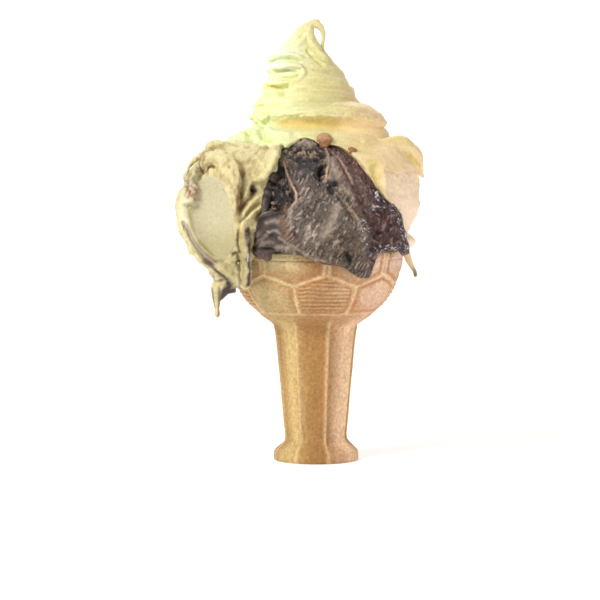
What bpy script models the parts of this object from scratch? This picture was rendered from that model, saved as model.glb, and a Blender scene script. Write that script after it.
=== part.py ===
"""Gelato cup: three flavours spread over a wafer cup with a football pattern.

Blender units are metres and +Z is up. The origin is the centre of the foot's underside
and the front faces -Y. Sizes below are millimetres and MM turns them into metres as each
mesh is made. An azimuth is counted in degrees from the front towards +X.
"""
import math

import bmesh
import bpy
from mathutils import Vector

MM = 0.001
WELD = 0.01
SCRAP_WELD = 0.001
SHARP_ANGLE = 35.0
GAP = 0.35
FLAVOUR_GAP = 0.7

# Finishes: colour and roughness
WAFER_FINISH = ((0.62, 0.38, 0.17), 0.75)
CREAM_FINISH = ((0.86, 0.80, 0.50), 0.45)
PISTACHIO_FINISH = ((0.66, 0.58, 0.33), 0.45)
CHOCOLATE_FINISH = ((0.055, 0.030, 0.022), 0.35)

# Wafer cup: foot, faceted stem and round bowl
FOOT_RADIUS = 17.0
FOOT_THICKNESS = 3.0
FOOT_CHAMFER = 0.7
FLARE_HEIGHT = 6.0
STEM_START_HEIGHT = 9.0
STEM_START_APOTHEM = 11.3
STEM_END_HEIGHT = 53.0
STEM_END_APOTHEM = 15.2
STEM_FILLET = 2.0
FILLET_HEIGHTS = (50.0, 53.0, 54.6, 56.4)
FACETS = 8
SECTOR = 360.0 / FACETS
RIB_HEIGHT = 0.5
BOWL_RADIUS = 34.5
BOWL_CENTRE_HEIGHT = 85.0
RIM_HEIGHT = 84.0
RIM_RADIUS = 35.0
RIM_ROUNDING = 0.5
BAND_HEIGHT = 81.5
WALL = 2.2
WELL_FLOOR_HEIGHT = 54.5
WELL_HEIGHTS = (83.0, 76.0, 69.0, 62.0, 57.0)
WELL_FLOOR_STEP = 3.0

# Football pattern: seams stand proud of the panels
PATTERN_AZIMUTH = 6.7
RIB_OFFSET = 9.8
PANEL_SEAM_OFFSET = 22.5
SEAM_HALF_ANGLE = 2.2
SEAM_HALF_WIDTH = 0.8
SEAM_HEIGHT = 0.5
LOWER_SEAM_HEIGHT = 59.5
ZIGZAG_HEIGHT = 73.2
ZIGZAG_RISE = 2.3
COLUMN_OFFSETS = (-2.2, 0.0, 2.2, 7.6, 9.8, 12.0, 20.3, 22.5, 24.7, 33.5)
LOWER_PANEL_PARTS = (0.36, 0.68)
UPPER_PANEL_PART = 0.85

# Room kept round the cup: heights down the bowl's outside, then radius and height of the end
CLEAR_HEIGHTS = (80.0, 75.0, 70.0, 65.0, 60.0, 56.0)
CLEAR_END = (18.0, 48.0)

# Cream: half widths of the heap by height, and the piled tiers above it
HEAP_PROFILE = (
    (84.4, 35.6), (90.0, 36.8), (96.0, 37.4), (102.0, 40.0), (107.0, 41.0), (112.0, 41.6),
    (117.0, 41.4), (122.0, 39.6), (126.5, 36.2), (129.5, 31.5),
)
HEAP_FRONT_RADIUS = 30.0
HEAP_FRONT_FROM = (-150.0, -112.0)
HEAP_FRONT_TO = (24.0, 58.0)
TIERS = (
    (131.0, -24.4, 24.6), (133.0, -26.0, 27.0), (136.3, -26.4, 27.6), (139.2, -25.6, 26.2),
    (141.0, -24.6, 19.6), (143.0, -22.6, 16.8), (147.0, -20.6, 15.2), (149.0, -21.4, 14.4),
    (152.0, -18.4, 12.2), (155.0, -18.8, 11.2), (158.5, -19.4, 7.0), (161.5, -16.0, 5.0),
    (163.6, -11.0, 2.8),
)
CREAM_COLUMNS = 36
TIER_DEPTH = 0.94
TIER_RISE = 0.56
CREAM_STRANDS = {
    "curl": (
        (-8.0, -2.0, 158.0, 6.4), (-8.2, -2.4, 164.0, 4.6), (-6.6, -2.6, 169.0, 3.3),
        (-3.6, -2.6, 173.0, 1.9), (-0.4, -2.6, 174.7, 1.0), (2.2, -2.6, 172.6, 0.9),
        (2.6, -2.8, 168.0, 0.8), (2.6, -3.2, 164.0, 1.1), (4.6, -4.0, 159.0, 2.2),
    ),
    "ribbon": (
        (-5.0, -4.6, 167.0, 0.9), (-2.4, -7.0, 163.6, 2.0), (1.6, -8.6, 160.6, 2.4),
        (5.0, -8.2, 157.4, 1.6),
    ),
    "flap": (
        (28.0, -12.0, 126.4, 2.0), (35.0, -9.0, 125.8, 3.0), (39.6, -6.6, 121.4, 2.6),
        (41.8, -5.4, 116.4, 1.6), (42.4, -5.0, 112.8, 0.8),
    ),
    "right_drip": (
        (38.0, -6.0, 82.0, 1.8), (39.0, -6.0, 79.0, 1.3), (39.7, -6.0, 76.0, 0.9),
        (39.9, -6.0, 73.4, 0.7),
    ),
}
CREAM_LUMPS = {
    "left_fold": ((-13.6, -5.0, 157.4), (7.0, 7.6, 3.0), 16.0),
    "left_tier": ((-29.0, -8.0, 128.0), (8.0, 12.0, 4.0), -10.0),
    "overhang": ((35.8, -4.0, 88.5), (4.2, 15.0, 10.6), -5.0),
}

# Chocolate: upper and lower edge seen from the front, and how far it stands out
CHOCOLATE_TOP = (
    (-25.4, 84.0), (-24.8, 96.0), (-21.5, 110.0), (-15.6, 120.0), (-12.0, 126.0), (-6.0, 128.6),
    (0.0, 127.4), (6.0, 126.0), (13.0, 124.2), (16.5, 121.5), (20.0, 115.0), (26.0, 107.0),
    (30.5, 102.0), (34.5, 98.0), (36.8, 88.0),
)
CHOCOLATE_BOTTOM = (
    (-25.4, 83.0), (-24.0, 81.8), (-19.0, 80.0), (-17.0, 83.2), (-8.0, 82.8), (-2.0, 80.0),
    (4.0, 78.0), (12.0, 75.4), (18.0, 72.4), (21.5, 75.5), (24.5, 82.0), (32.0, 83.4),
    (34.5, 82.0), (36.8, 82.0),
)
CHOCOLATE_REACH = (
    (71.0, 36.3), (76.0, 39.6), (80.0, 41.4), (86.0, 42.6), (93.0, 43.2), (100.0, 42.0),
    (108.0, 39.2), (115.0, 35.6), (121.0, 31.6), (126.0, 28.0), (130.0, 25.5),
)
CHOCOLATE_EDGE = 4.0
CHOCOLATE_DEPTH = 13.0
CHOCOLATE_END_ROUNDING = 0.3
CHOCOLATE_END_SQUARENESS = 8
CHOCOLATE_EDGE_SQUARENESS = 4
CHOCOLATE_COLUMNS = 30
CHOCOLATE_ROWS = 11
FACE_RIDGE_START = (8.0, 118.0)
FACE_RIDGE_LEAN = 0.28
FACE_RIDGE_RISE = 2.2
FACE_RIDGE_WIDTH = 5.0
PIT_CENTRE = (-14.5, 108.0)
PIT_RADII = (6.0, 11.0)
PIT_DEPTH = 4.5
TOFFEE_LUMP = ((3.0, -27.2, 128.4), (3.2, 3.0, 2.4))
TOFFEE_RUN = ((12.0, -27.6, 124.8, 1.2), (15.0, -27.2, 124.4, 1.1), (16.4, -27.0, 122.8, 0.8))

# Pistachio: level sections of the spread, by height
SPREAD = (
    (73.5, -40.5, -30.0, -24.0, -6.0), (76.0, -42.5, -26.0, -30.0, 4.0),
    (80.0, -45.8, -22.5, -35.0, 12.0), (85.0, -49.4, -18.0, -37.5, 20.0),
    (91.0, -52.0, -14.0, -38.5, 25.0), (98.0, -54.8, -12.0, -38.8, 27.0),
    (104.0, -56.4, -12.0, -38.0, 27.5), (110.0, -54.6, -12.0, -36.0, 26.0),
    (116.0, -50.8, -13.0, -33.5, 23.0), (121.0, -48.0, -12.6, -30.6, 18.0),
    (125.0, -45.0, -12.4, -27.4, 10.0), (127.6, -41.0, -15.0, -22.0, 0.0),
)
SPREAD_COLUMNS = 28
SPREAD_SQUARENESS = 2.3
SCOOP_CENTRE = (-40.6, -38.5, 98.5)
SCOOP_RADII = (8.4, 8.0, 18.5)
SCOOP_TILT = 4.0
PISTACHIO_ROLLS = {
    "fold": (
        (-46.0, -30.0, 114.0, 1.6), (-43.4, -30.6, 119.0, 2.4), (-38.6, -30.6, 122.2, 2.9),
        (-33.4, -31.8, 120.4, 3.1), (-31.0, -34.4, 114.0, 3.1), (-31.0, -36.6, 106.0, 2.8),
        (-31.4, -37.6, 96.0, 2.2), (-31.2, -37.4, 86.0, 1.8), (-31.4, -35.6, 80.0, 1.4),
    ),
    "left_rim": (
        (-46.6, -29.0, 115.0, 1.4), (-49.4, -29.4, 108.0, 2.4), (-50.8, -28.6, 100.0, 2.6),
        (-49.4, -29.4, 92.0, 2.4), (-45.0, -31.2, 84.0, 2.3), (-39.6, -31.8, 78.4, 1.9),
        (-36.0, -31.4, 76.0, 1.4),
    ),
}
PISTACHIO_DRIPS = {
    "finger_drip": (
        (-28.6, -33.0, 92.0, 2.0), (-28.4, -30.8, 84.0, 2.6), (-28.0, -26.4, 77.0, 2.6),
        (-28.0, -22.6, 71.0, 2.6), (-28.2, -20.8, 67.8, 1.4),
    ),
    "middle_drip": ((-32.4, -30.0, 80.0, 3.0), (-32.4, -24.0, 74.0, 2.0), (-32.6, -21.0, 68.4, 0.8)),
    "left_drip": (
        (-38.0, -22.0, 77.0, 3.2), (-38.4, -21.0, 72.6, 2.4), (-39.4, -20.6, 69.4, 2.4),
        (-39.2, -20.4, 65.0, 1.5), (-39.2, -20.4, 60.6, 0.9), (-39.2, -20.4, 57.6, 1.2),
        (-39.2, -20.4, 56.8, 0.5),
    ),
}


def metres(point):
    """Turn a point in millimetres into a vector in metres."""
    return Vector(point) * MM


def polar(radius, azimuth, height):
    """Give the point at a radius and azimuth round the cup's axis."""
    angle = math.radians(azimuth)
    return (radius * math.sin(angle), -radius * math.cos(angle), height)


def table(rows, at, column=1):
    """Read a value between the rows of a table, in straight runs."""
    if at <= rows[0][0]:
        return rows[0][column]
    for low, high in zip(rows, rows[1:]):
        if at <= high[0]:
            part = (at - low[0]) / (high[0] - low[0])
            return low[column] + (high[column] - low[column]) * part
    return rows[-1][column]


def smoothstep(low, high, value):
    """Rise smoothly from 0 at low to 1 at high."""
    part = min(1.0, max(0.0, (value - low) / (high - low)))
    return part * part * (3.0 - 2.0 * part)


def new_collection(name):
    """Add a collection to the scene."""
    group = bpy.data.collections.new(name)
    bpy.context.scene.collection.children.link(group)
    return group


def new_material(name, finish):
    """Make a Principled material of one colour and roughness."""
    colour, roughness = finish
    material = bpy.data.materials.new(name)
    material.use_nodes = True
    shader = material.node_tree.nodes["Principled BSDF"]
    shader.inputs["Base Color"].default_value = (*colour, 1.0)
    shader.inputs["Roughness"].default_value = roughness
    shader.inputs["Metallic"].default_value = 0.0
    material.diffuse_color = (*colour, 1.0)
    return material


def add_object(name, mesh, group, material=None):
    """Put a mesh into the scene as an object."""
    thing = bpy.data.objects.new(name, mesh)
    if material:
        mesh.materials.append(material)
    group.objects.link(thing)
    return thing


def loft(name, rings, group, material=None):
    """Skin rings of equal count from first to last and close both ends with a fan."""
    count = len(rings[0])
    points = [metres(point) for ring in rings for point in ring]
    faces = []
    for row in range(len(rings) - 1):
        low = row * count
        high = low + count
        for i in range(count):
            j = (i + 1) % count
            faces.append((low + i, low + j, high + j, high + i))
    for ring, first, flip in ((rings[0], 0, True), (rings[-1], len(points) - count, False)):
        middle = [sum(point[axis] for point in ring) / count for axis in range(3)]
        centre = len(points)
        points.append(metres(middle))
        for i in range(count):
            j = (i + 1) % count
            pair = (first + j, first + i) if flip else (first + i, first + j)
            faces.append((centre, *pair))
    mesh = bpy.data.meshes.new(name)
    mesh.from_pydata(points, [], faces)
    mesh.update()
    return add_object(name, mesh, group, material)


def strand(name, path, group, sides=2):
    """Sweep a round section along a path of (x, y, z, radius) and make it a closed mesh."""
    curve = bpy.data.curves.new(name, "CURVE")
    curve.dimensions = "3D"
    curve.bevel_depth = MM
    curve.bevel_resolution = sides
    curve.use_fill_caps = True
    spline = curve.splines.new("POLY")
    spline.points.add(len(path) - 1)
    for point, (x, y, z, radius) in zip(spline.points, path):
        point.co = (*metres((x, y, z)), 1.0)
        point.radius = radius
    source = bpy.data.objects.new(name + "_path", curve)
    group.objects.link(source)
    bpy.context.view_layer.update()
    evaluated = source.evaluated_get(bpy.context.evaluated_depsgraph_get())
    mesh = bpy.data.meshes.new_from_object(evaluated)
    bpy.data.objects.remove(source)
    work = bmesh.new()
    work.from_mesh(mesh)
    bmesh.ops.remove_doubles(work, verts=work.verts, dist=WELD * MM)
    bmesh.ops.recalc_face_normals(work, faces=work.faces)
    work.to_mesh(mesh)
    work.free()
    return add_object(name, mesh, group)


def smooth_path(stations, steps=3):
    """Run a Catmull-Rom curve through stations of (x, y, z, radius)."""
    count = len(stations)
    path = []
    for i in range(count - 1):
        before = stations[max(i - 1, 0)]
        start = stations[i]
        end = stations[i + 1]
        after = stations[min(i + 2, count - 1)]
        for step in range(steps):
            t = step / steps
            path.append(tuple(
                0.5 * (2 * b + (c - a) * t + (2 * a - 5 * b + 4 * c - d) * t * t
                       + (3 * b - a - 3 * c + d) * t ** 3)
                for a, b, c, d in zip(before, start, end, after)
            ))
    path.append(stations[-1])
    return path


def lump(name, centre, radii, group, segments=12, tilt=0.0):
    """Add an ellipsoid, tilted in the front view."""
    mesh = bpy.data.meshes.new(name)
    work = bmesh.new()
    bmesh.ops.create_uvsphere(work, u_segments=segments, v_segments=segments // 2 + 1, radius=1.0)
    turn = math.radians(tilt)
    for vertex in work.verts:
        x, y, z = (vertex.co[axis] * radii[axis] for axis in range(3))
        turned = (x * math.cos(turn) + z * math.sin(turn), y, z * math.cos(turn) - x * math.sin(turn))
        vertex.co = metres([turned[axis] + centre[axis] for axis in range(3)])
    work.to_mesh(mesh)
    work.free()
    return add_object(name, mesh, group)


def combine(target, collection, operation, solver="EXACT"):
    """Join or cut the target with everything in a collection, then empty the collection."""
    modifier = target.modifiers.new(operation.lower(), "BOOLEAN")
    modifier.operation = operation
    modifier.operand_type = "COLLECTION"
    modifier.collection = collection
    modifier.solver = solver
    bpy.context.view_layer.update()
    evaluated = target.evaluated_get(bpy.context.evaluated_depsgraph_get())
    mesh = bpy.data.meshes.new_from_object(evaluated)
    target.modifiers.clear()
    target.data = mesh
    for thing in list(collection.objects):
        bpy.data.objects.remove(thing)


def keep_largest(target):
    """Drop every scrap but the largest body, walking over edges that two faces share."""
    work = bmesh.new()
    work.from_mesh(target.data)
    bmesh.ops.remove_doubles(work, verts=work.verts, dist=SCRAP_WELD * MM)
    waiting = set(work.faces)
    bodies = []
    while waiting:
        front = [waiting.pop()]
        body = list(front)
        while front:
            face = front.pop()
            for edge in face.edges:
                for other in edge.link_faces:
                    if len(edge.link_faces) == 2 and other in waiting:
                        waiting.discard(other)
                        body.append(other)
                        front.append(other)
        bodies.append(body)
    bodies.sort(key=len)
    scraps = [face for body in bodies[:-1] for face in body]
    bmesh.ops.delete(work, geom=scraps, context="FACES")
    work.to_mesh(target.data)
    work.free()


def grown_copy(source, group, distance=FLAVOUR_GAP):
    """Copy a solid with its skin moved outwards, for cutting its neighbours clear."""
    mesh = source.data.copy()
    work = bmesh.new()
    work.from_mesh(mesh)
    work.normal_update()
    moved = [vertex.co + vertex.normal * distance * MM for vertex in work.verts]
    for vertex, place in zip(work.verts, moved):
        vertex.co = place
    work.to_mesh(mesh)
    work.free()
    return add_object(source.name + "_clearance", mesh, group)


def stem_apothem(height):
    """Distance of the stem's flats from the axis."""
    part = (height - STEM_START_HEIGHT) / (STEM_END_HEIGHT - STEM_START_HEIGHT)
    return STEM_START_APOTHEM + (STEM_END_APOTHEM - STEM_START_APOTHEM) * part


def facet_radius(azimuth, height):
    """Radius of the eight-sided stem, with its corner ribs."""
    from_rib = (azimuth - PATTERN_AZIMUTH - RIB_OFFSET) % SECTOR
    from_flat = math.radians(from_rib - SECTOR / 2)
    radius = stem_apothem(height) / math.cos(from_flat)
    on_rib = min(from_rib, SECTOR - from_rib) < SEAM_HALF_ANGLE / 2
    return radius + (RIB_HEIGHT if on_rib else 0.0)


def bowl_radius(height, radius=BOWL_RADIUS):
    """Radius of the round bowl at a height."""
    return math.sqrt(max(0.0, radius ** 2 - (height - BOWL_CENTRE_HEIGHT) ** 2))


def body_radius(azimuth, height):
    """Radius of stem and bowl with the fillet where they meet."""
    stem = facet_radius(azimuth, min(height, STEM_END_HEIGHT))
    bowl = bowl_radius(height)
    return 0.5 * (stem + bowl + math.hypot(stem - bowl, STEM_FILLET))


def zigzag_height(azimuth):
    """Height of the zigzag seam: peaks over the panels' middles."""
    part = ((azimuth - PATTERN_AZIMUTH) % SECTOR) / SECTOR
    return ZIGZAG_HEIGHT + ZIGZAG_RISE * (abs(part - 0.5) * 4.0 - 1.0)


def cup_rings():
    """Rings of the cup from the middle of its underside, over the rim, down to the well's floor."""
    columns = [
        PATTERN_AZIMUTH + SECTOR * k + offset for k in range(FACETS) for offset in COLUMN_OFFSETS
    ]

    def ring(radius_at, height_at):
        return [polar(radius_at(a, height_at(a)), a, height_at(a)) for a in columns]

    def level(height):
        return lambda azimuth: height

    def near(azimuth, offset):
        return abs((azimuth - PATTERN_AZIMUTH - offset + SECTOR / 2) % SECTOR - SECTOR / 2) < 0.5

    def raised(offset):
        def radius_at(azimuth, height):
            lift = SEAM_HEIGHT if offset is None or near(azimuth, offset) else 0.0
            return bowl_radius(height) + lift
        return radius_at

    def between(low_at, high_at, part):
        return lambda azimuth: low_at(azimuth) + (high_at(azimuth) - low_at(azimuth)) * part

    def plain(radius):
        return lambda azimuth, height: radius

    def foot_blend(azimuth, height):
        part = smoothstep(FOOT_THICKNESS, STEM_START_HEIGHT, height)
        return FOOT_RADIUS + (facet_radius(azimuth, height) - FOOT_RADIUS) * part

    def seam_rows(height_at, offset_below, offset_above):
        low = ring(raised(offset_below), lambda a: height_at(a) - SEAM_HALF_WIDTH)
        middle = ring(raised(None), height_at)
        high = ring(raised(offset_above), lambda a: height_at(a) + SEAM_HALF_WIDTH)
        return [low, middle, high]

    lower = level(LOWER_SEAM_HEIGHT)
    band = level(BAND_HEIGHT)
    rings = [
        ring(plain(FOOT_RADIUS - FOOT_CHAMFER), level(0.0)),
        ring(plain(FOOT_RADIUS), level(FOOT_CHAMFER)),
        ring(plain(FOOT_RADIUS), level(FOOT_THICKNESS)),
    ]
    for height in (FLARE_HEIGHT, STEM_START_HEIGHT):
        rings.append(ring(foot_blend, level(height)))
    for height in FILLET_HEIGHTS:
        rings.append(ring(body_radius, level(height)))
    rings += seam_rows(lower, -1.0, PANEL_SEAM_OFFSET)
    for part in LOWER_PANEL_PARTS:
        rings.append(ring(raised(PANEL_SEAM_OFFSET), between(lower, zigzag_height, part)))
    rings += seam_rows(zigzag_height, PANEL_SEAM_OFFSET, 0.0)
    rings.append(ring(raised(0.0), between(zigzag_height, band, UPPER_PANEL_PART)))
    rings.append(ring(plain(RIM_RADIUS), band))
    rings.append(ring(plain(RIM_RADIUS), level(RIM_HEIGHT - RIM_ROUNDING)))
    rings.append(ring(plain(RIM_RADIUS - RIM_ROUNDING), level(RIM_HEIGHT)))
    well = BOWL_RADIUS - WALL
    rings.append(ring(plain(well + RIM_ROUNDING), level(RIM_HEIGHT)))
    for height in WELL_HEIGHTS:
        rings.append(ring(plain(bowl_radius(height, well)), level(height)))
    floor_radius = bowl_radius(WELL_HEIGHTS[-1], well) - WELL_FLOOR_STEP
    rings.append(ring(plain(floor_radius), level(WELL_FLOOR_HEIGHT)))
    return rings


def turned(name, profile, group, steps=48):
    """Turn a profile of (radius, height) about the axis, top to bottom on its outer side."""
    mesh = bpy.data.meshes.new(name)
    points = [metres((radius, 0.0, height)) for radius, height in profile]
    edges = [(i, i + 1) for i in range(len(points) - 1)]
    mesh.from_pydata(points, edges, [])
    thing = add_object(name, mesh, group)
    screw = thing.modifiers.new("turn", "SCREW")
    screw.steps = steps
    screw.render_steps = steps
    screw.use_merge_vertices = True
    screw.merge_threshold = WELD * MM
    bpy.context.view_layer.update()
    evaluated = thing.evaluated_get(bpy.context.evaluated_depsgraph_get())
    solid = bpy.data.meshes.new_from_object(evaluated)
    thing.modifiers.clear()
    thing.data = solid
    work = bmesh.new()
    work.from_mesh(solid)
    bmesh.ops.remove_doubles(work, verts=work.verts, dist=WELD * MM)
    work.to_mesh(solid)
    work.free()
    return thing


def wall_clearance(group, through):
    """Make the cup's bowl a cutter: the whole bowl, or only its wall if gelato runs through."""
    outer = BOWL_RADIUS + SEAM_HEIGHT + GAP
    outside = [(RIM_RADIUS + GAP, RIM_HEIGHT + GAP)]
    outside += [(bowl_radius(height, outer), height) for height in CLEAR_HEIGHTS]
    outside.append(CLEAR_END)
    centre_end = (0.0, CLEAR_END[1])
    inner = BOWL_RADIUS - WALL - GAP
    if through:
        floor = WELL_FLOOR_HEIGHT + GAP
        inside = [(bowl_radius(height, inner), height) for height in reversed(WELL_HEIGHTS)]
        inside.append((inner, RIM_HEIGHT + GAP))
        profile = outside + [centre_end, (0.0, floor), (inside[0][0] - WELL_FLOOR_STEP, floor)]
        profile += inside + [outside[0]]
    else:
        profile = [(0.0, RIM_HEIGHT + GAP)] + outside + [centre_end]
    return turned("wall_clearance", profile, group)


def heap_radius(azimuth, height):
    """Radius of the heap: drawn in at the front and left, where the other flavours lie."""
    full = table(HEAP_PROFILE, height)
    turned_azimuth = (azimuth + 180.0) % 360.0 - 180.0
    start = smoothstep(*HEAP_FRONT_FROM, turned_azimuth)
    end = 1.0 - smoothstep(*HEAP_FRONT_TO, turned_azimuth)
    front = min(full, HEAP_FRONT_RADIUS)
    return full + (front - full) * start * end


def cream_rings():
    """Rings of the cream: the filled well, the heap and the swirled tiers."""
    azimuths = [360.0 * k / CREAM_COLUMNS for k in range(CREAM_COLUMNS)]
    rings = []
    fill = BOWL_RADIUS - WALL - GAP
    floor_radius = bowl_radius(WELL_HEIGHTS[-1], fill) - WELL_FLOOR_STEP
    levels = [(floor_radius, WELL_FLOOR_HEIGHT + GAP)]
    levels += [(bowl_radius(height, fill), height) for height in reversed(WELL_HEIGHTS)]
    levels.append((fill, RIM_HEIGHT + GAP))
    for radius, height in levels:
        rings.append([polar(radius, azimuth, height) for azimuth in azimuths])
    for height, _ in HEAP_PROFILE:
        rings.append([polar(heap_radius(azimuth, height), azimuth, height) for azimuth in azimuths])
    for height, left, right in TIERS:
        middle = 0.5 * (left + right)
        half = 0.5 * (right - left)
        ring = []
        for azimuth in azimuths:
            x, y, z = polar(half, azimuth, height)
            rise = TIER_RISE * math.sin(math.radians(azimuth - 90.0))
            ring.append((x + middle, y * TIER_DEPTH, z + rise))
        rings.append(ring)
    return rings


def make_cream(group, parts, cutters, neighbours, material):
    """Join the heap with its curled tip, side flap, overhang and drips, then clear the rest."""
    cream = loft("cream", cream_rings(), group, material)
    for name, path in CREAM_STRANDS.items():
        strand(name, smooth_path(path, 2), parts)
    for name, (centre, radii, tilt) in CREAM_LUMPS.items():
        lump(name, centre, radii, parts, 12, tilt)
    combine(cream, parts, "UNION")
    wall_clearance(cutters, through=True)
    for neighbour in neighbours:
        grown_copy(neighbour, cutters)
    combine(cream, cutters, "DIFFERENCE", "MANIFOLD")
    keep_largest(cream)
    return cream


def chocolate_front(x, height):
    """Depth of the chocolate's face: round the heap, with a ridge and a torn pit."""
    reach = table(CHOCOLATE_REACH, height)
    depth = -math.sqrt(max(reach ** 2 - x ** 2, 1.0))
    ridge_at = FACE_RIDGE_START[0] + (FACE_RIDGE_START[1] - height) * FACE_RIDGE_LEAN
    depth -= FACE_RIDGE_RISE * math.exp(-((x - ridge_at) / FACE_RIDGE_WIDTH) ** 2)
    spread = ((x - PIT_CENTRE[0]) / PIT_RADII[0]) ** 2 + ((height - PIT_CENTRE[1]) / PIT_RADII[1]) ** 2
    return depth + PIT_DEPTH * math.exp(-spread)


def make_chocolate(group, parts, cutters, material):
    """Loft the slab from left to right, fuse the toffee bump and clear the cup."""
    first = CHOCOLATE_TOP[0][0]
    last = CHOCOLATE_TOP[-1][0]
    rings = []
    for column in range(CHOCOLATE_COLUMNS + 1):
        along = 0.5 - 0.5 * math.cos(math.pi * column / CHOCOLATE_COLUMNS)
        x = first + (last - first) * (0.5 * along + 0.5 * column / CHOCOLATE_COLUMNS)
        top = table(CHOCOLATE_TOP, x)
        bottom = table(CHOCOLATE_BOTTOM, x)
        side = max(CHOCOLATE_END_ROUNDING, (1.0 - abs(2.0 * along - 1.0) ** CHOCOLATE_END_SQUARENESS) ** 0.5)
        ring = []
        for row in range(2 * CHOCOLATE_ROWS):
            turn = math.pi * (row + 0.5) / CHOCOLATE_ROWS
            across = -math.cos(turn)
            height = 0.5 * (top + bottom) + 0.5 * (top - bottom) * across
            round_off = (1.0 - abs(across) ** CHOCOLATE_EDGE_SQUARENESS) ** 0.5 * side
            front = chocolate_front(x, height)
            if row < CHOCOLATE_ROWS:
                y = front + CHOCOLATE_EDGE * (1.0 - round_off)
            else:
                y = front + CHOCOLATE_EDGE + (CHOCOLATE_DEPTH - CHOCOLATE_EDGE) * round_off
            ring.append((x, y, height))
        rings.append(ring)
    chocolate = loft("chocolate", rings, group, material)
    lump("toffee", *TOFFEE_LUMP, parts, 10)
    strand("toffee_run", TOFFEE_RUN, parts)
    combine(chocolate, parts, "UNION")
    wall_clearance(cutters, through=False)
    combine(chocolate, cutters, "DIFFERENCE")
    keep_largest(chocolate)
    return chocolate


def spread_rings():
    """Level rings of the pistachio spread, squared-off ovals between its four reaches."""
    rings = []
    for height, left, right, front, back in SPREAD:
        ring = []
        for k in range(SPREAD_COLUMNS):
            angle = 2.0 * math.pi * k / SPREAD_COLUMNS
            cosine = math.cos(angle)
            sine = math.sin(angle)
            power = 2.0 / SPREAD_SQUARENESS
            x = 0.5 * (left + right) + 0.5 * (right - left) * math.copysign(abs(cosine) ** power, cosine)
            y = 0.5 * (front + back) + 0.5 * (back - front) * math.copysign(abs(sine) ** power, sine)
            ring.append((x, y, height))
        rings.append(ring)
    return rings


def make_pistachio(group, parts, cutters, neighbours, material):
    """Scoop the hollow, fuse the rolled fold, the rim and the drips, then clear the rest."""
    pistachio = loft("pistachio", spread_rings(), group, material)
    lump("scoop", SCOOP_CENTRE, SCOOP_RADII, cutters, 16, SCOOP_TILT)
    combine(pistachio, cutters, "DIFFERENCE")
    for name, path in PISTACHIO_ROLLS.items():
        strand(name, smooth_path(path, 2), parts)
    for name, path in PISTACHIO_DRIPS.items():
        strand(name, path, parts)
    combine(pistachio, parts, "UNION")
    wall_clearance(cutters, through=False)
    for neighbour in neighbours:
        grown_copy(neighbour, cutters)
    combine(pistachio, cutters, "DIFFERENCE")
    keep_largest(pistachio)
    return pistachio


def main():
    """Build the cup and the three flavours."""
    for thing in list(bpy.data.objects):
        bpy.data.objects.remove(thing)
    group = new_collection("gelato_cup")
    parts = new_collection("pieces_to_fuse")
    cutters = new_collection("cutters")
    wafer = new_material("wafer", WAFER_FINISH)
    cream_white = new_material("cream_gelato", CREAM_FINISH)
    dark_brown = new_material("chocolate_gelato", CHOCOLATE_FINISH)
    pale_green = new_material("pistachio_gelato", PISTACHIO_FINISH)
    cup = loft("cup", cup_rings(), group, wafer)
    chocolate = make_chocolate(group, parts, cutters, dark_brown)
    pistachio = make_pistachio(group, parts, cutters, [chocolate], pale_green)
    cream = make_cream(group, parts, cutters, [chocolate, pistachio], cream_white)
    for thing in (cup, chocolate, pistachio, cream):
        thing.data.shade_smooth()
        thing.data.set_sharp_from_angle(angle=math.radians(SHARP_ANGLE))


main()
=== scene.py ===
import math

import bpy
import numpy as np
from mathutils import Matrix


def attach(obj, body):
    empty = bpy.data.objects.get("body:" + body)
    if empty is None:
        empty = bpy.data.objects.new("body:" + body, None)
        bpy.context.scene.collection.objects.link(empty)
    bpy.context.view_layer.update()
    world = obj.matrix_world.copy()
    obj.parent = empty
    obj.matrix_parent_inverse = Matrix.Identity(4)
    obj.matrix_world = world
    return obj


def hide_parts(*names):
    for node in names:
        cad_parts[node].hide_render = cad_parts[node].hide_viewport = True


# Gelato cup: three flavours spread on a football-pattern wafer cup.
# Lengths are millimetres until a mesh is written; the front faces -Y and azimuths are
# degrees from the front towards +X. A picture place (u, v) is what the straight-on camera
# sees: u millimetres right of the cup's axis and v millimetres above the foot's underside.
# A path in the picture is written u, v, u, v and so on.

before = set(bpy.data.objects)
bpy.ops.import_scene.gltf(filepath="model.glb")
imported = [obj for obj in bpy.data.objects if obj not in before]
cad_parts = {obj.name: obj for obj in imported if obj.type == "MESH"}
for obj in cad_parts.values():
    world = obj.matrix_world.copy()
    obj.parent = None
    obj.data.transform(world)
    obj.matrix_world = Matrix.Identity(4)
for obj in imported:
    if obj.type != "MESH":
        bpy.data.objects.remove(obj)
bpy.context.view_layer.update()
print("frame loaded")

mm = 0.001

view = {
    "distance": 900,        # camera to the cup's axis
    "elevation": 3.5,         # degrees above level
    "aim": (-6.4, 0, 64),
    "width": 240,           # what the picture takes in at the cup's axis
}
viewSin = math.sin(math.radians(view["elevation"]))
viewCos = math.cos(math.radians(view["elevation"]))


def toPicture(points):
    # offsets from the aim along the camera's right and up, over the depth, times the distance
    x, y, z = points[..., 0] - view["aim"][0], points[..., 1], points[..., 2] - view["aim"][2]
    reach = view["distance"] / (view["distance"] + y * viewCos - z * viewSin)
    return x * reach + view["aim"][0], (y * viewSin + z * viewCos) * reach + view["aim"][2]


def fromPicture(u, v, y):
    # the same projection solved for x and z where the depth y is known
    far, rise = view["distance"], v - view["aim"][2]
    z = (rise * (far + y * viewCos) - far * y * viewSin) / (far * viewCos + rise * viewSin)
    x = (u - view["aim"][0]) * (far + y * viewCos - z * viewSin) / far
    return np.stack([x + view["aim"][0], y, z + view["aim"][2]], axis=-1)


def smoothstep(low, high, value):
    # 0 below the first value and 1 past the second, with a cubic between them
    part = np.clip((value - low) / (high - low), 0, 1)
    return part * part * (3 - 2 * part)


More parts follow.
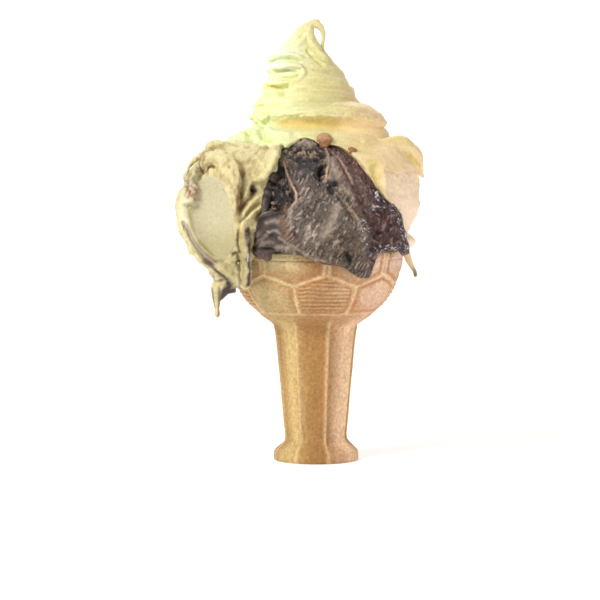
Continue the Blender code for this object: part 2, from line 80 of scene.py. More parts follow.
def bell(distance, width):
    # 1 in the middle, falling to 1/e at the width
    return np.exp(-(distance / width) ** 2)


def pairs(path):
    # a path written u, v, u, v... as rows of two
    return np.reshape(np.array(path, float), (-1, 2))


def flatPlace(across, up):
    # two coordinates as a place for noise, with nought for the third
    return np.stack([across, up, 0 * across], -1)


def curveThrough(rows, at, column=1):
    # cubic Hermite curve through the rows, each slope taken from the rows beside it
    table = np.array(rows, float)
    xs, ys = table[:, 0], table[:, column]
    slopes = np.gradient(ys, xs)
    at = np.clip(at, xs[0], xs[-1])
    k = np.clip(np.searchsorted(xs, at) - 1, 0, len(xs) - 2)
    span = xs[k + 1] - xs[k]
    t = (at - xs[k]) / span
    start = (1 + 2 * t) * (1 - t) ** 2 * ys[k] + t * (1 - t) ** 2 * span * slopes[k]
    end = t * t * (3 - 2 * t) * ys[k + 1] + t * t * (t - 1) * span * slopes[k + 1]
    return start + end


def smoothPath(stations, count):
    # the stations' columns as Hermite curves over the chord length, at even steps
    table = np.array(stations, float)
    places = min(table.shape[1], 3)
    steps = np.linalg.norm(np.diff(table[:, :places], axis=0), axis=1)
    chord = np.concatenate([[0], np.cumsum(steps)])
    at = np.linspace(0, chord[-1], count)
    columns = [curveThrough(np.stack([chord, table[:, k]], axis=1), at) for k in range(table.shape[1])]
    return np.stack(columns, axis=1)


def noise(points, size, seed=0):
    # value noise from -1 to 1: hashed values on a lattice of this size, blended by quintic steps
    scaled = points / np.asarray(size, float) + 31.7 * (seed + 1)
    cell = np.floor(scaled).astype(np.int64)
    part = scaled - cell
    part = part ** 3 * (part * (part * 6 - 15) + 10)
    total = np.zeros(points.shape[:-1])
    for corner in range(8):
        offset = np.array([corner & 1, corner >> 1 & 1, corner >> 2 & 1])
        near = cell + offset
        mixed = near[..., 0] * 73856093 ^ near[..., 1] * 19349663 ^ near[..., 2] * 83492791
        mixed = (mixed ^ seed * 2654435761) & 0xFFFFFFFF
        mixed = (mixed ^ mixed >> 15) * 2246822519 & 0xFFFFFFFF
        mixed = (mixed ^ mixed >> 13) * 3266489917 & 0xFFFFFFFF
        value = ((mixed ^ mixed >> 16) & 0xFFFF) / 32767.5 - 1
        total += value * np.prod(np.where(offset, part, 1 - part), axis=-1)
    return total


def layeredNoise(points, size, layers=3, seed=0):
    # each layer is half the size and half the strength of the one before
    total, size = 0, np.asarray(size, float)
    for layer in range(layers):
        total = total + noise(points, size / 2 ** layer, seed + layer) / 2 ** layer
    return total


def nearStroke(u, v, path, count=28):
    # distance to a curve in the picture, which side of it (right of its run is positive), and
    # how far along it: the closest point of each short segment, then the closest segment
    track = smoothPath(pairs(path), count)
    start, run = track[:-1], np.diff(track, axis=0)
    du, dv = u[:, None] - start[:, 0], v[:, None] - start[:, 1]
    length = (run ** 2).sum(axis=1)
    part = np.clip((du * run[:, 0] + dv * run[:, 1]) / length, 0, 1)
    away = np.hypot(du - part * run[:, 0], dv - part * run[:, 1])
    best = away.argmin(axis=1)
    row = np.arange(len(u))
    side = np.sign(du[row, best] * run[best, 1] - dv[row, best] * run[best, 0])
    return away[row, best], side * away[row, best], (best + part[row, best]) / (count - 1)


def beside(u, v, width, path):
    # a bell across a curve in the picture
    return bell(nearStroke(u, v, path)[0], width)


def strokeRelief(u, v, ridges, laps=()):
    # sum of laps (a layer's edge: a step that fades behind) and ridges (a bell across the curve),
    # each given as height, width and path
    total = np.zeros(len(u))
    for number, (height, width, *path) in enumerate((*laps, *ridges)):
        corners, reach = pairs(path), 7 * width     # past this reach a stroke is nothing
        low, high = corners.min(axis=0) - reach, corners.max(axis=0) + reach
        near = np.flatnonzero((u > low[0]) & (u < high[0]) & (v > low[1]) & (v < high[1]))
        if not len(near):
            continue
        away, side, along = nearStroke(u[near], v[near], path)
        ends = smoothstep(0, 0.14, along) * (1 - smoothstep(0.86, 1, along))
        if number < len(laps):
            step = smoothstep(-0.5 * width, 0.5 * width, side)
            step = step * np.exp(-np.maximum(side, 0) / (4 * width))
            total[near] += height * step * bell(away, 5 * width) * ends
        else:
            total[near] += height * bell(away, width) * ends
    return total


def insideOutline(u, v, path):
    # millimetres inside a closed outline in the picture, negative outside: the distance to the
    # nearest edge, its sign from how many edges a level line to the right crosses
    start = pairs(path)
    run = np.roll(start, -1, axis=0) - start
    away, crossings = np.full(len(u), 1e9), np.zeros(len(u), int)
    for (a, b), (du, dv) in zip(start, run):
        part = np.clip(((u - a) * du + (v - b) * dv) / (du * du + dv * dv), 0, 1)
        away = np.minimum(away, np.hypot(u - a - part * du, v - b - part * dv))
        if dv:
            crossings += ((v >= b) != (v >= b + dv)) & (u < a + (v - b) / dv * du)
    return np.where(crossings % 2 == 1, away, -away)


def tint(red, green, blue):
    # screen colour from 0 to 255 as linear light
    value = np.array([red, green, blue]) / 255
    return np.where(value <= 0.04045, value / 12.92, ((value + 0.055) / 1.055) ** 2.4)


def blend(base, colour, amount):
    # base where the amount is 0, colour where it is 1
    amount = np.clip(amount, 0, 1)[:, None]
    return base * (1 - amount) + colour * amount


def evenColour(points, red, green, blue):
    return np.tile(tint(red, green, blue), (len(points), 1))


def layered(colours, *layers):
    # tints laid one over another: red, green, blue and how much of it each place takes
    for red, green, blue, amount in layers:
        colours = blend(colours, tint(red, green, blue), amount)
    return colours


def uneven(colours, amount):
    # lighter where the amount is above nought and darker where it is below
    return colours * (1 + amount)[:, None]


def markWith(colours, u, v, marks, wobble, amount):
    # each mark: red, green, blue, strength, width and the path it follows in the picture
    for red, green, blue, strength, width, *path in marks:
        away = np.maximum(nearStroke(u, v, path)[0] + wobble * width, 0)
        colours = blend(colours, tint(red, green, blue), bell(away, width) * strength * amount)
    return colours


def placed(stations):
    # (u, v, y, radius) stations seen in the picture, as (x, y, z, radius)
    table = np.array(stations, float)
    return np.column_stack([fromPicture(table[:, 0], table[:, 1], table[:, 2]), table[:, 3]])


def writeMesh(name, points, quads, triangles=()):
    # points in millimetres and the faces' corners, as a smooth mesh in the scene
    mesh = bpy.data.meshes.new(name)
    quads, triangles = np.asarray(quads, int), np.asarray(triangles, int).reshape(-1, 3)
    corners = np.concatenate([quads.ravel(), triangles.ravel()])
    starts = np.concatenate([
        np.arange(len(quads)) * 4, len(quads) * 4 + np.arange(len(triangles)) * 3])
    mesh.vertices.add(len(points))
    mesh.vertices.foreach_set("co", (np.asarray(points) * mm).ravel())
    mesh.loops.add(len(corners))
    mesh.loops.foreach_set("vertex_index", corners)
    mesh.polygons.add(len(starts))
    mesh.polygons.foreach_set("loop_start", starts)
    mesh.update(calc_edges=True)
    mesh.shade_smooth()
    piece = bpy.data.objects.new(name, mesh)
    bpy.context.scene.collection.objects.link(piece)
    return piece


def closedGrid(grid):
    # a grid of rings: quads between neighbouring rings, a fan over the first and the last ring
    rows, columns = grid.shape[:2]
    points = np.concatenate([grid.reshape(-1, 3), grid[:1].mean(axis=1), grid[-1:].mean(axis=1)])
    low = np.arange(rows - 1)[:, None] * columns
    i, j = np.arange(columns), (np.arange(columns) + 1) % columns
    quads = np.stack([low + i, low + j, low + columns + j, low + columns + i], axis=-1).reshape(-1, 4)
    last, pole = (rows - 1) * columns, rows * columns
    first = np.stack([np.full(columns, pole), j, i], axis=-1)
    final = np.stack([np.full(columns, pole + 1), last + i, last + j], axis=-1)
    return points, quads, np.concatenate([first, final])


def sweep(stations, count=60, sides=20, broad=1, facing=(0, -1, 0)):
    # a round or flattened section carried along a path of (x, y, z, radius) with rounded ends
    path = smoothPath(stations, count)
    centre, radius = path[:, :3], path[:, 3]
    run = np.gradient(centre, axis=0)
    length = np.linalg.norm(run, axis=1, keepdims=True)
    reach = np.concatenate([[0], np.cumsum(np.linalg.norm(np.diff(centre, axis=0), axis=1))])
    near = np.minimum(reach, reach[-1] - reach) / radius
    radius = radius * np.sqrt(1 - (1 - np.clip(near, 0.03, 1)) ** 2)
    side = np.cross(run / length, np.array(facing))
    side /= np.linalg.norm(side, axis=1, keepdims=True)
    front = np.cross(side, run / length)
    turn = np.linspace(0, 2 * math.pi, sides, endpoint=False)[None, :, None]
    across = np.cos(turn) * side[:, None] * broad + np.sin(turn) * front[:, None]
    return closedGrid((centre[:, None] + across * radius[:, None, None])[::-1])


def strands(table):
    # sections swept along paths seen in the picture: steps, sides, breadth and the stations
    return [sweep(placed(stations), count, sides, broad) for count, sides, broad, *stations in table]


def meltTogether(name, solids, grain, smoothing=4):
    # overlapping closed surfaces become one skin: a voxel remesh, then a light smoothing
    points, quads, triangles, count = [], [], [], 0
    for solidPoints, solidQuads, solidTriangles in solids:
        points.append(solidPoints)
        quads.append(solidQuads + count)
        triangles.append(solidTriangles + count)
        count += len(solidPoints)
    rough = writeMesh(name, np.concatenate(points), np.concatenate(quads), np.concatenate(triangles))
    remesh = rough.modifiers.new("melt", "REMESH")
    remesh.mode = "VOXEL"
    remesh.voxel_size = grain * mm
    smooth = rough.modifiers.new("soften", "SMOOTH")
    smooth.factor = 0.5
    smooth.iterations = smoothing
    skin = bpy.data.meshes.new_from_object(rough.evaluated_get(bpy.context.evaluated_depsgraph_get()))
    rough.modifiers.clear()
    rough.data = skin
    skin.shade_smooth()
    return rough


def readSkin(piece):
    # every vertex's place in millimetres and its normal
    count = len(piece.data.vertices)
    points, normals = np.empty(count * 3), np.empty(count * 3)
    piece.data.vertices.foreach_get("co", points)
    piece.data.vertices.foreach_get("normal", normals)
    return points.reshape(-1, 3) / mm, normals.reshape(-1, 3)


def moveSkin(piece, points):
    # the same vertices at new places, given in millimetres
    piece.data.vertices.foreach_set("co", (points * mm).ravel())
    piece.data.update()


def paint(piece, colours, rough):
    # every vertex's colour and roughness, read by the material
    layer = piece.data.color_attributes.new("surfaceColour", "FLOAT_COLOR", "POINT")
    full = np.concatenate([colours, np.ones((len(colours), 1))], axis=1)
    layer.data.foreach_set("color", full.ravel())
    layer = piece.data.attributes.new("surfaceRough", "FLOAT", "POINT")
    layer.data.foreach_set("value", np.ascontiguousarray(np.broadcast_to(rough, len(colours)), float))


def finishPiece(piece, node, material):
    # the piece rides the one body and takes its node's place
    piece.data.materials.clear()
    piece.data.materials.append(material)
    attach(piece, "root")
    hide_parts(node)
    print(piece.name, "made:", len(piece.data.vertices), "vertices")


# Materials: the vertex colours, broken up by fine noise, over a soft moist or dry surface
foods = {
    "waferCrust": {"glow": 0.05, "glowDepth": 1, "specular": 0.3,
                   "grainScale": 1300, "grainBump": 0.35, "speckle": 0.22, "speckleScale": 1000},
    "creamGelato": {"glow": 0.25, "glowDepth": 2, "specular": 0.3,
                    "grainScale": 1100, "grainBump": 0.42, "speckle": 0.08, "speckleScale": 900},
    "pistachioGelato": {"glow": 0.16, "glowDepth": 1.4, "specular": 0.4,
                        "grainScale": 1200, "grainBump": 0.45, "speckle": 0.09, "speckleScale": 1000},
    "chocolateGelato": {"glow": 0.02, "glowDepth": 0.6, "specular": 0.4,
                        "grainScale": 1500, "grainBump": 0.45, "speckle": 0.26, "speckleScale": 900},
}


def foodMaterial(name):
    # the vertices' own colour and roughness, both broken up by fine noise, and a grain of bump
    look = foods[name]
    material = bpy.data.materials.new(name)
    material.use_nodes = True
    nodes, links = material.node_tree.nodes, material.node_tree.links
    shader = nodes["Principled BSDF"]
    place = nodes.new("ShaderNodeTexCoord")
    colour, polish = nodes.new("ShaderNodeAttribute"), nodes.new("ShaderNodeAttribute")
    colour.attribute_name, polish.attribute_name = "surfaceColour", "surfaceRough"
    fleck, grain = nodes.new("ShaderNodeTexNoise"), nodes.new("ShaderNodeTexNoise")
    level = nodes.new("ShaderNodeMapRange")
    shade = nodes.new("ShaderNodeVectorMath")
    shade.operation = "SCALE"
    patchy = nodes.new("ShaderNodeMath")
    patchy.operation = "MULTIPLY_ADD"
    patchy.use_clamp = True
    bump = nodes.new("ShaderNodeBump")
    for socket, value in (
            (fleck.inputs["Scale"], look["speckleScale"]), (fleck.inputs["Detail"], 4),
            (level.inputs["From Min"], 0.3), (level.inputs["From Max"], 0.7),
            (level.inputs["To Min"], 1 - look["speckle"]),
            (level.inputs["To Max"], 1 + look["speckle"]),
            (grain.inputs["Scale"], look["grainScale"]), (grain.inputs["Detail"], 3),
            (patchy.inputs[1], 0.16),
            (bump.inputs["Strength"], look["grainBump"]), (bump.inputs["Distance"], 0.0006),
            (shader.inputs["Subsurface Weight"], look["glow"]),
            (shader.inputs["Subsurface Radius"], (1, 0.75, 0.4)),
            (shader.inputs["Subsurface Scale"], look["glowDepth"] * mm),
            (shader.inputs["Specular IOR Level"], look["specular"])):
        socket.default_value = value
    for source, target in (
            (place.outputs["Object"], fleck.inputs["Vector"]),
            (place.outputs["Object"], grain.inputs["Vector"]),
            (fleck.outputs["Fac"], level.inputs["Value"]),
            (colour.outputs["Color"], shade.inputs[0]),
            (level.outputs["Result"], shade.inputs["Scale"]),
            (shade.outputs["Vector"], shader.inputs["Base Color"]),
            (fleck.outputs["Fac"], patchy.inputs[0]),
            (polish.outputs["Fac"], patchy.inputs[2]),
            (patchy.outputs["Value"], shader.inputs["Roughness"]),
            (grain.outputs["Fac"], bump.inputs["Height"]),
            (bump.outputs["Normal"], shader.inputs["Normal"])):
        links.new(source, target)
    return material


# Wafer cup: foot, faceted stem and a bowl pressed with a football's panels
wafer = {
    "footRadius": 17, "footThickness": 3, "stemStart": 9, "stemEnd": 53,
    "stemThin": 11.3, "stemWide": 15.2, "fillet": 2, "bowlRadius": 34.5, "bowlCentre": 85,
    "rim": 84, "rimRadius": 35, "wall": 2.2,
    "clearRadius": 35.4,     # what hangs outside the bowl stays beyond this
    "noiseRadius": 34,       # the cylinder on which the noise is read
    "panels": 8, "patternTurn": 6.7, "ribTurn": 16.5, "lowerSeam": 59.5, "zigzag": 73.2,
    "zigzagRise": 2.3, "seamRise": 0.5, "hatchPitch": 1.55, "hatchDepth": 0.2,
    "columns": 420,
}
panel = 360 / wafer["panels"]      # degrees; the stem has as many sides


def bowlRadius(height, radius):
    # a circle's half width at a height above or below its centre
    return np.sqrt(np.maximum(radius ** 2 - (height - wafer["bowlCentre"]) ** 2, 0))


def sectorOffset(azimuth, turn, width=panel):
    # degrees to the nearest of the evenly spaced seams
    return (azimuth - turn + width / 2) % width - width / 2


def waferRadius(azimuth, height):
    # octagon for the stem and circle for the bowl, met by a smooth maximum, flared to the foot
    ends, widths = [wafer["stemStart"], wafer["stemEnd"]], [wafer["stemThin"], wafer["stemWide"]]
    apothem = np.interp(height, ends, widths)
    flat = np.radians(sectorOffset(azimuth, wafer["ribTurn"] + panel / 2))
    stem = apothem / np.cos(flat)
    rib = sectorOffset(azimuth, wafer["ribTurn"]) * np.pi / 180 * stem
    stem = stem + 0.55 * bell(rib, 0.55) - 0.22 * bell(np.abs(rib) - 1.3, 0.5)
    bowl = bowlRadius(height, wafer["bowlRadius"])
    body = 0.5 * (stem + bowl + np.hypot(stem - bowl, wafer["fillet"]))
    flare = smoothstep(wafer["footThickness"], wafer["stemStart"], height)
    return wafer["footRadius"] + (body - wafer["footRadius"]) * flare


def footballSeams(azimuth, height):
    # millimetres along the surface to the nearest seam: band, zigzag, uprights above and below
    radius = bowlRadius(height, wafer["bowlRadius"])
    steep = wafer["bowlRadius"] / np.maximum(radius, 6)
    part = ((azimuth - wafer["patternTurn"]) % panel) / panel
    zigzag = wafer["zigzag"] + wafer["zigzagRise"] * (np.abs(part - 0.5) * 4 - 1)
    toZigzag = np.abs(height - zigzag) * steep * 0.94
    toLower = np.abs(height - wafer["lowerSeam"]) * steep
    toUpper = np.abs(np.abs(sectorOffset(azimuth, wafer["patternTurn"]) * np.pi / 180 * radius) - 1)
    toSide = np.abs(sectorOffset(azimuth, wafer["patternTurn"] + panel / 2) * np.pi / 180 * radius)
    toUpper = toUpper + 50 * (height < zigzag)
    toSide = toSide + 50 * ((height > zigzag) | (height < wafer["lowerSeam"]))
    nearest = np.minimum(np.minimum(toZigzag, toLower), np.minimum(toUpper, toSide))
    return nearest, zigzag


def makeWaferCup(material):
    # rings of the outer face from the foot up, then of the well from the rim down
    azimuth = np.linspace(-180, 180, wafer["columns"], endpoint=False)
    outer = np.concatenate([
        [0, 0.25, 0.7, 2.4, 2.8, 3.1, 3.6, 4.4, 5.4, 6.6, 8, 10], np.linspace(13, 50, 20),
        np.linspace(51, 58.6, 20), np.linspace(58.9, 77, 84), np.linspace(77.4, 83.4, 22),
        [83.75, 83.95, 84]])
    height, turn = np.meshgrid(outer, azimuth, indexing="ij")
    radius = waferRadius(turn, height)
    radius[0] -= 0.7
    radius[1] -= 0.3
    seam, zigzag = footballSeams(turn, height)
    wrap = wafer["noiseRadius"]
    wall = np.stack([wrap * np.sin(np.radians(turn)), height, wrap * np.cos(np.radians(turn))], -1)
    # how worn each seam stands, and how strong the painted highlight along it is
    seamWearAndHighlight = 0.85 + 0.3 * noise(wall, 5, 3)
    seam = np.abs(seam + 0.22 * noise(wall, 2.6, 5))
    onBowl = smoothstep(56.5, 59, height) * (1 - smoothstep(80.6, 81.2, height))
    puff = 0.55 * (1 - bell(seam, 3.2))
    ridge = seamWearAndHighlight * (wafer["seamRise"] * bell(seam, 0.62) - 0.22 * bell(seam - 1.5, 0.6))
    ridge = ridge * (1 - 0.75 * bell(height - wafer["lowerSeam"], 1.6))
    everyOther = np.abs(sectorOffset(turn, wafer["patternTurn"], 2 * panel)) < panel / 2
    hatched = everyOther & (height < zigzag)
    inside = smoothstep(0.9, 1.8, seam) * hatched * smoothstep(60, 62, height)
    inside = inside * (0.75 + 0.45 * noise(wall, (7, 3, 7), 6))
    wave = 0.28 * noise(wall, (6, 5, 6), 4) + 0.12 * noise(wall, (1.8, 3, 1.8), 8)
    hatch = np.sin(2 * np.pi * (height + wave) / wafer["hatchPitch"]) * inside
    radius = radius + onBowl * (puff + ridge) + wafer["hatchDepth"] * hatch
    band = smoothstep(81, 81.5, height)
    lip = wafer["rimRadius"] - 0.5 * smoothstep(83.4, 84, height) ** 3
    radius = radius * (1 - band) + lip * band
    well = wafer["bowlRadius"] - wafer["wall"]
    inner = np.array([84, 83.8, 83, 80, 76, 69, 62, 57, 54.5])
    innerRadius = bowlRadius(inner, well)
    innerRadius[:3] = [well + 0.6, well + 0.2, well]
    innerRadius[-1] = innerRadius[-2] - 3
    height = np.concatenate([height, np.repeat(inner[:, None], len(azimuth), 1)])
    radius = np.concatenate([radius, np.repeat(innerRadius[:, None], len(azimuth), 1)])
    turn = np.repeat(azimuth[None], len(height), 0)
    angle = np.radians(turn)
    grid = np.stack([radius * np.sin(angle), -radius * np.cos(angle), height], -1)
    rough = layeredNoise(grid, 1.6, 2, 7) * 0.05 + layeredNoise(grid, (9, 9, 14), 2, 9) * 0.12
    outward = flatPlace(np.sin(angle), -np.cos(angle))
    grid = grid + outward * (rough * smoothstep(0.8, 3, height))[..., None]
    cup = writeMesh("waferCup", *closedGrid(grid))

    def withWell(values, plain):
        # the outer face's values, then a plain one for the rings of the well
        return np.concatenate([values, np.full((len(inner), len(azimuth)), plain)]).ravel()

    seam, hatch, seamWearAndHighlight = withWell(seam, 9.0), withWell(hatch, 0.0), withWell(seamWearAndHighlight, 1.0)
    flat, turn = grid.reshape(-1, 3), turn.ravel()
    up = flat[:, 2]
    fadeLeft = smoothstep(0, -20, turn) * smoothstep(-150, -110, turn)
    fadeRight = smoothstep(30, 42, turn) * smoothstep(110, 80, turn)
    toast = layeredNoise(flat, 12, 3, 12)
    stem = 1 - smoothstep(54, 60, up)
    streak = noise(flat, (4, 4, 30), 15)
    bowl = smoothstep(58, 61, up)
    # how strong the painted shade beside the seams is: more towards the right, away from the key
    edge = 0.35 + 0.65 * smoothstep(8, 45, turn)
    ribs = np.abs(sectorOffset(turn, wafer["ribTurn"])) * np.pi / 180 * 14
    colours = layered(
        evenColour(flat, 186, 150, 102),
        # darker across the front; painted light makes the left olive where the key falls and the right
        # rosy under the warm fill, and the band under the rim paler on the left and rosier on the right
        (174, 150, 103, bell(turn + 45, 34)),
        (160, 122, 82, bell(turn - 6, 24)),
        (210, 174, 148, bell(turn - 54, 28)),
        (212, 192, 142, smoothstep(76, 79, up) * fadeLeft * 0.8),
        (230, 204, 188, smoothstep(77, 79.5, up) * fadeRight * 0.85),
        (170, 120, 72, smoothstep(-0.1, 1.2, toast) * 0.55),
        (222, 196, 152, smoothstep(0.2, 1.2, -toast) * 0.4),
        (154, 112, 60, stem * 0.9),
        # painted light: the stem's left facets lighter where the key falls, its right facets rosy under
        # the warm fill
        (200, 172, 115, stem * bell(sectorOffset(turn, -44, 360), 22) * 0.95),
        (226, 192, 158, stem * bell(turn - 56, 26) * 0.95),
        (150, 98, 52, stem * smoothstep(0, 0.8, streak) * 0.35),
        # painted highlight along the raised seams and painted shade in the grooves beside them
        (226, 198, 150, bowl * bell(seam, 0.65) * 0.75 * seamWearAndHighlight),
        (176, 108, 62, bowl * bell(seam - 1.6, 0.8) * 0.75 * edge),
        # painted shade in the hatching's grooves and painted highlight on its ridges
        (150, 98, 58, np.clip(-hatch, 0, 1) * 0.7),
        (206, 166, 118, np.clip(hatch, 0, 1) * 0.5),
        # painted highlight on the stem's raised ribs
        (224, 192, 142, stem * bell(ribs, 0.7) * 0.55))
    colours = uneven(colours, 0.1 * layeredNoise(flat, 1.1, 2, 17))
    paint(cup, np.concatenate([colours, colours[:1], colours[-1:]]), 0.6)
    finishPiece(cup, "cup", material)


# Chocolate: a slab dragged over the front; edges in picture places, reach from the cup's axis
chocolate = {
    "columns": 300, "frontRows": 210, "backRows": 20, "edge": 2.4, "depth": 12,
    "noiseRadius": 40, "middle": 98, "lean": 52,     # the scraper's strokes, lean in degrees
    "top": ((-25.4, 86), (-24.9, 91.6), (-23.9, 94.4), (-22.2, 98), (-21.6, 106), (-20.6, 111.6),
        (-17.6, 115.8), (-15.4, 119.4), (-15.2, 121.6), (-12.4, 124.6), (-8.2, 128.2), (-5, 129),
        (-2.4, 128.4), (0.9, 126.2), (4.9, 125.9), (10.7, 124.4), (15, 121.8), (17.8, 119.4),
        (21.4, 114), (24.9, 108), (28.5, 103.4), (32.9, 100.2), (34.7, 96.4), (35.6, 91), (37.4, 85.6)),
    "bottom": ((-25.4, 83.6), (-24.4, 82.2), (-22.4, 80.8), (-19.6, 80.4), (-18.2, 81.4), (-17, 82.7),
        (-12, 82.5), (-6.2, 81.6), (-1.7, 80.4), (2.7, 78.2), (7, 77.6), (10.7, 77), (16, 73.6),
        (19.2, 72.9), (22, 74.4), (22.8, 77.2), (24.9, 82), (28.6, 83.2), (32.9, 83.8), (34.7, 82),
        (37.4, 82.6)),
    "reach": ((71, 36.6), (76, 39.6), (80, 41.2), (86, 42.2), (93, 42.2), (100, 41), (108, 38.4),
        (115, 35.2), (121, 31.6), (126, 28.6), (130, 26.5)),
    "crest": (5.6, 124.4, 7.6, 119, 10.8, 114.6, 13.2, 110.2, 15.4, 104.4, 17.2, 99.6, 19.6, 93.6,
        20, 86.8, 21, 80.6),
    "streak": (-14.8, 121.6, -12.9, 119.2, -11, 113.8, -9.5, 109.9, -7.8, 106, -8, 103.6, -10, 101.4,
        -11.4, 100.2),
    "pit": (-15.3, 119.4, -12.9, 117.6, -11.8, 113.8, -10.3, 109.9, -8.8, 106, -9, 103.6, -11, 101.2,
        -12.8, 99.4, -14.4, 98.2, -19, 99.2, -24, 98, -24, 106, -23, 110, -21.6, 113.1, -18.4, 117),
    "crumbs": (-14, 122.8, -9.4, 126.4, -2, 127, 3.6, 125.4, 4.4, 119.6, 3.8, 112.2, 0.6, 111,
        -1.2, 115.6, 0.2, 118.2, -6.6, 119, -11, 119.8),
    "lowerCrumbs": (3.6, 112.6, 8, 112.6, 9, 108, 12.6, 103.6, 11.4, 101.2, 7, 104.6, 4.2, 108.4),
    # wet edges: strength, width and path
    "wet": (
        (1, 1.9, 23.6, 108.4, 26.2, 103.8, 29, 101.6, 33, 99, 34.8, 93.6, 36.4, 87, 36, 84.2),
        (1, 1.7, 23.6, 84.2, 28, 84.4, 34, 84.8),
        (0.8, 1.2, 20.6, 99.4, 23, 101, 26, 100.6),
        (0.9, 1.2, 18.8, 95, 19.6, 89, 21, 82)),
    # smoother places: width and path
    "calm": (
        (1.8, 8.9, 101.4, 7.6, 97.4, 5.6, 93, 3.2, 89.6), (2, -6.4, 117.2, -3, 117.4, 0, 116.8),
        (1.6, 5.8, 119.6, 6.6, 116.6, 8.6, 113.8)),
    # the toffee bump and run: steps, sides, breadth and stations of u, v, y and radius
    "toffee": (
        (40, 24, 1, (0.2, 127.8, -26.8, 1.6), (2.2, 128.3, -27.2, 2.5), (4.2, 128, -27.2, 2.4),
         (6.2, 126.6, -26.8, 1.2)),
        (24, 18, 1, (1.2, 126.4, -27.6, 1.5), (4.8, 126, -27.6, 1.5)),
        (30, 14, 1, (12.6, 124.4, -27.4, 0.6), (14.6, 124.2, -27.2, 0.9), (16.2, 123.2, -26.8, 0.8)),
        (20, 12, 1, (13.6, 124, -27.6, 0.7), (13.8, 122.4, -28.2, 0.5)),
    ),
}
# ridges and grooves on the face: height, width and path
chocolateRidges = (
    (1.4, 1.8, *chocolate["crest"]),
    (1.5, 0.8, *chocolate["streak"]),
    (1, 1, -14.8, 89, -12.6, 87.6, -9, 85.4, -5.4, 83.2, -1, 81, 4, 79.4, 10.6, 78.6),
    (0.9, 0.6, -12.8, 121.6, -10.8, 118, -9.2, 113.6),
    (-0.9, 0.5, -12.8, 120.2, -11, 116.8, -9.8, 112.6),
    (1.1, 0.7, 3.8, 124.8, 5, 121, 4.9, 118.4, 4.3, 115.2, 3.8, 111.8),
    (-1.6, 0.8, 2.8, 118.2, 1.6, 114.4, 2.2, 111.6),
    (0.8, 0.7, 11.2, 103.6, 14, 100, 17.1, 95.3),
    (-1, 0.6, 9.6, 103.6, 12.6, 100.6, 16.2, 94.6),
    (-0.8, 0.6, 8.6, 119.6, 12, 114, 15, 108.4),
    (0.7, 0.5, 8.8, 120.8, 12, 115.6, 14.8, 111, 16.4, 106.6),
    (1.5, 1.1, -25.2, 94.4, -21.6, 96.6, -17.6, 98.2, -13.6, 99.4),
    (-0.9, 0.8, -25, 91.6, -20, 93, -15, 92),
    (-0.9, 0.6, -24.4, 85.6, -21, 88.4, -16.2, 89.8),
    (1, 1.2, -24.8, 84.2, -22.4, 82.4, -19.6, 81.8, -18, 82.8),
    (-0.9, 0.5, -22.4, 84.6, -19, 84.6, -16.4, 84.2),
    (-1.2, 0.8, 12.4, 82.8, 13.6, 80.4, 15, 77.6),
    (0.8, 1, 22.6, 82.4, 27, 85.2, 33, 86),
    (0.9, 1.1, 26.6, 104, 31, 99.6, 33.4, 95, 34.6, 88),
    (-0.9, 0.8, 24.4, 103.6, 28.4, 98, 30.4, 91, 31, 86.6),
    (1, 0.7, 20.6, 99.4, 23, 101, 26, 100.6, 28.6, 98.4),
    (-0.9, 0.7, 21.6, 86, 24, 90.6, 28.6, 91.6),
)
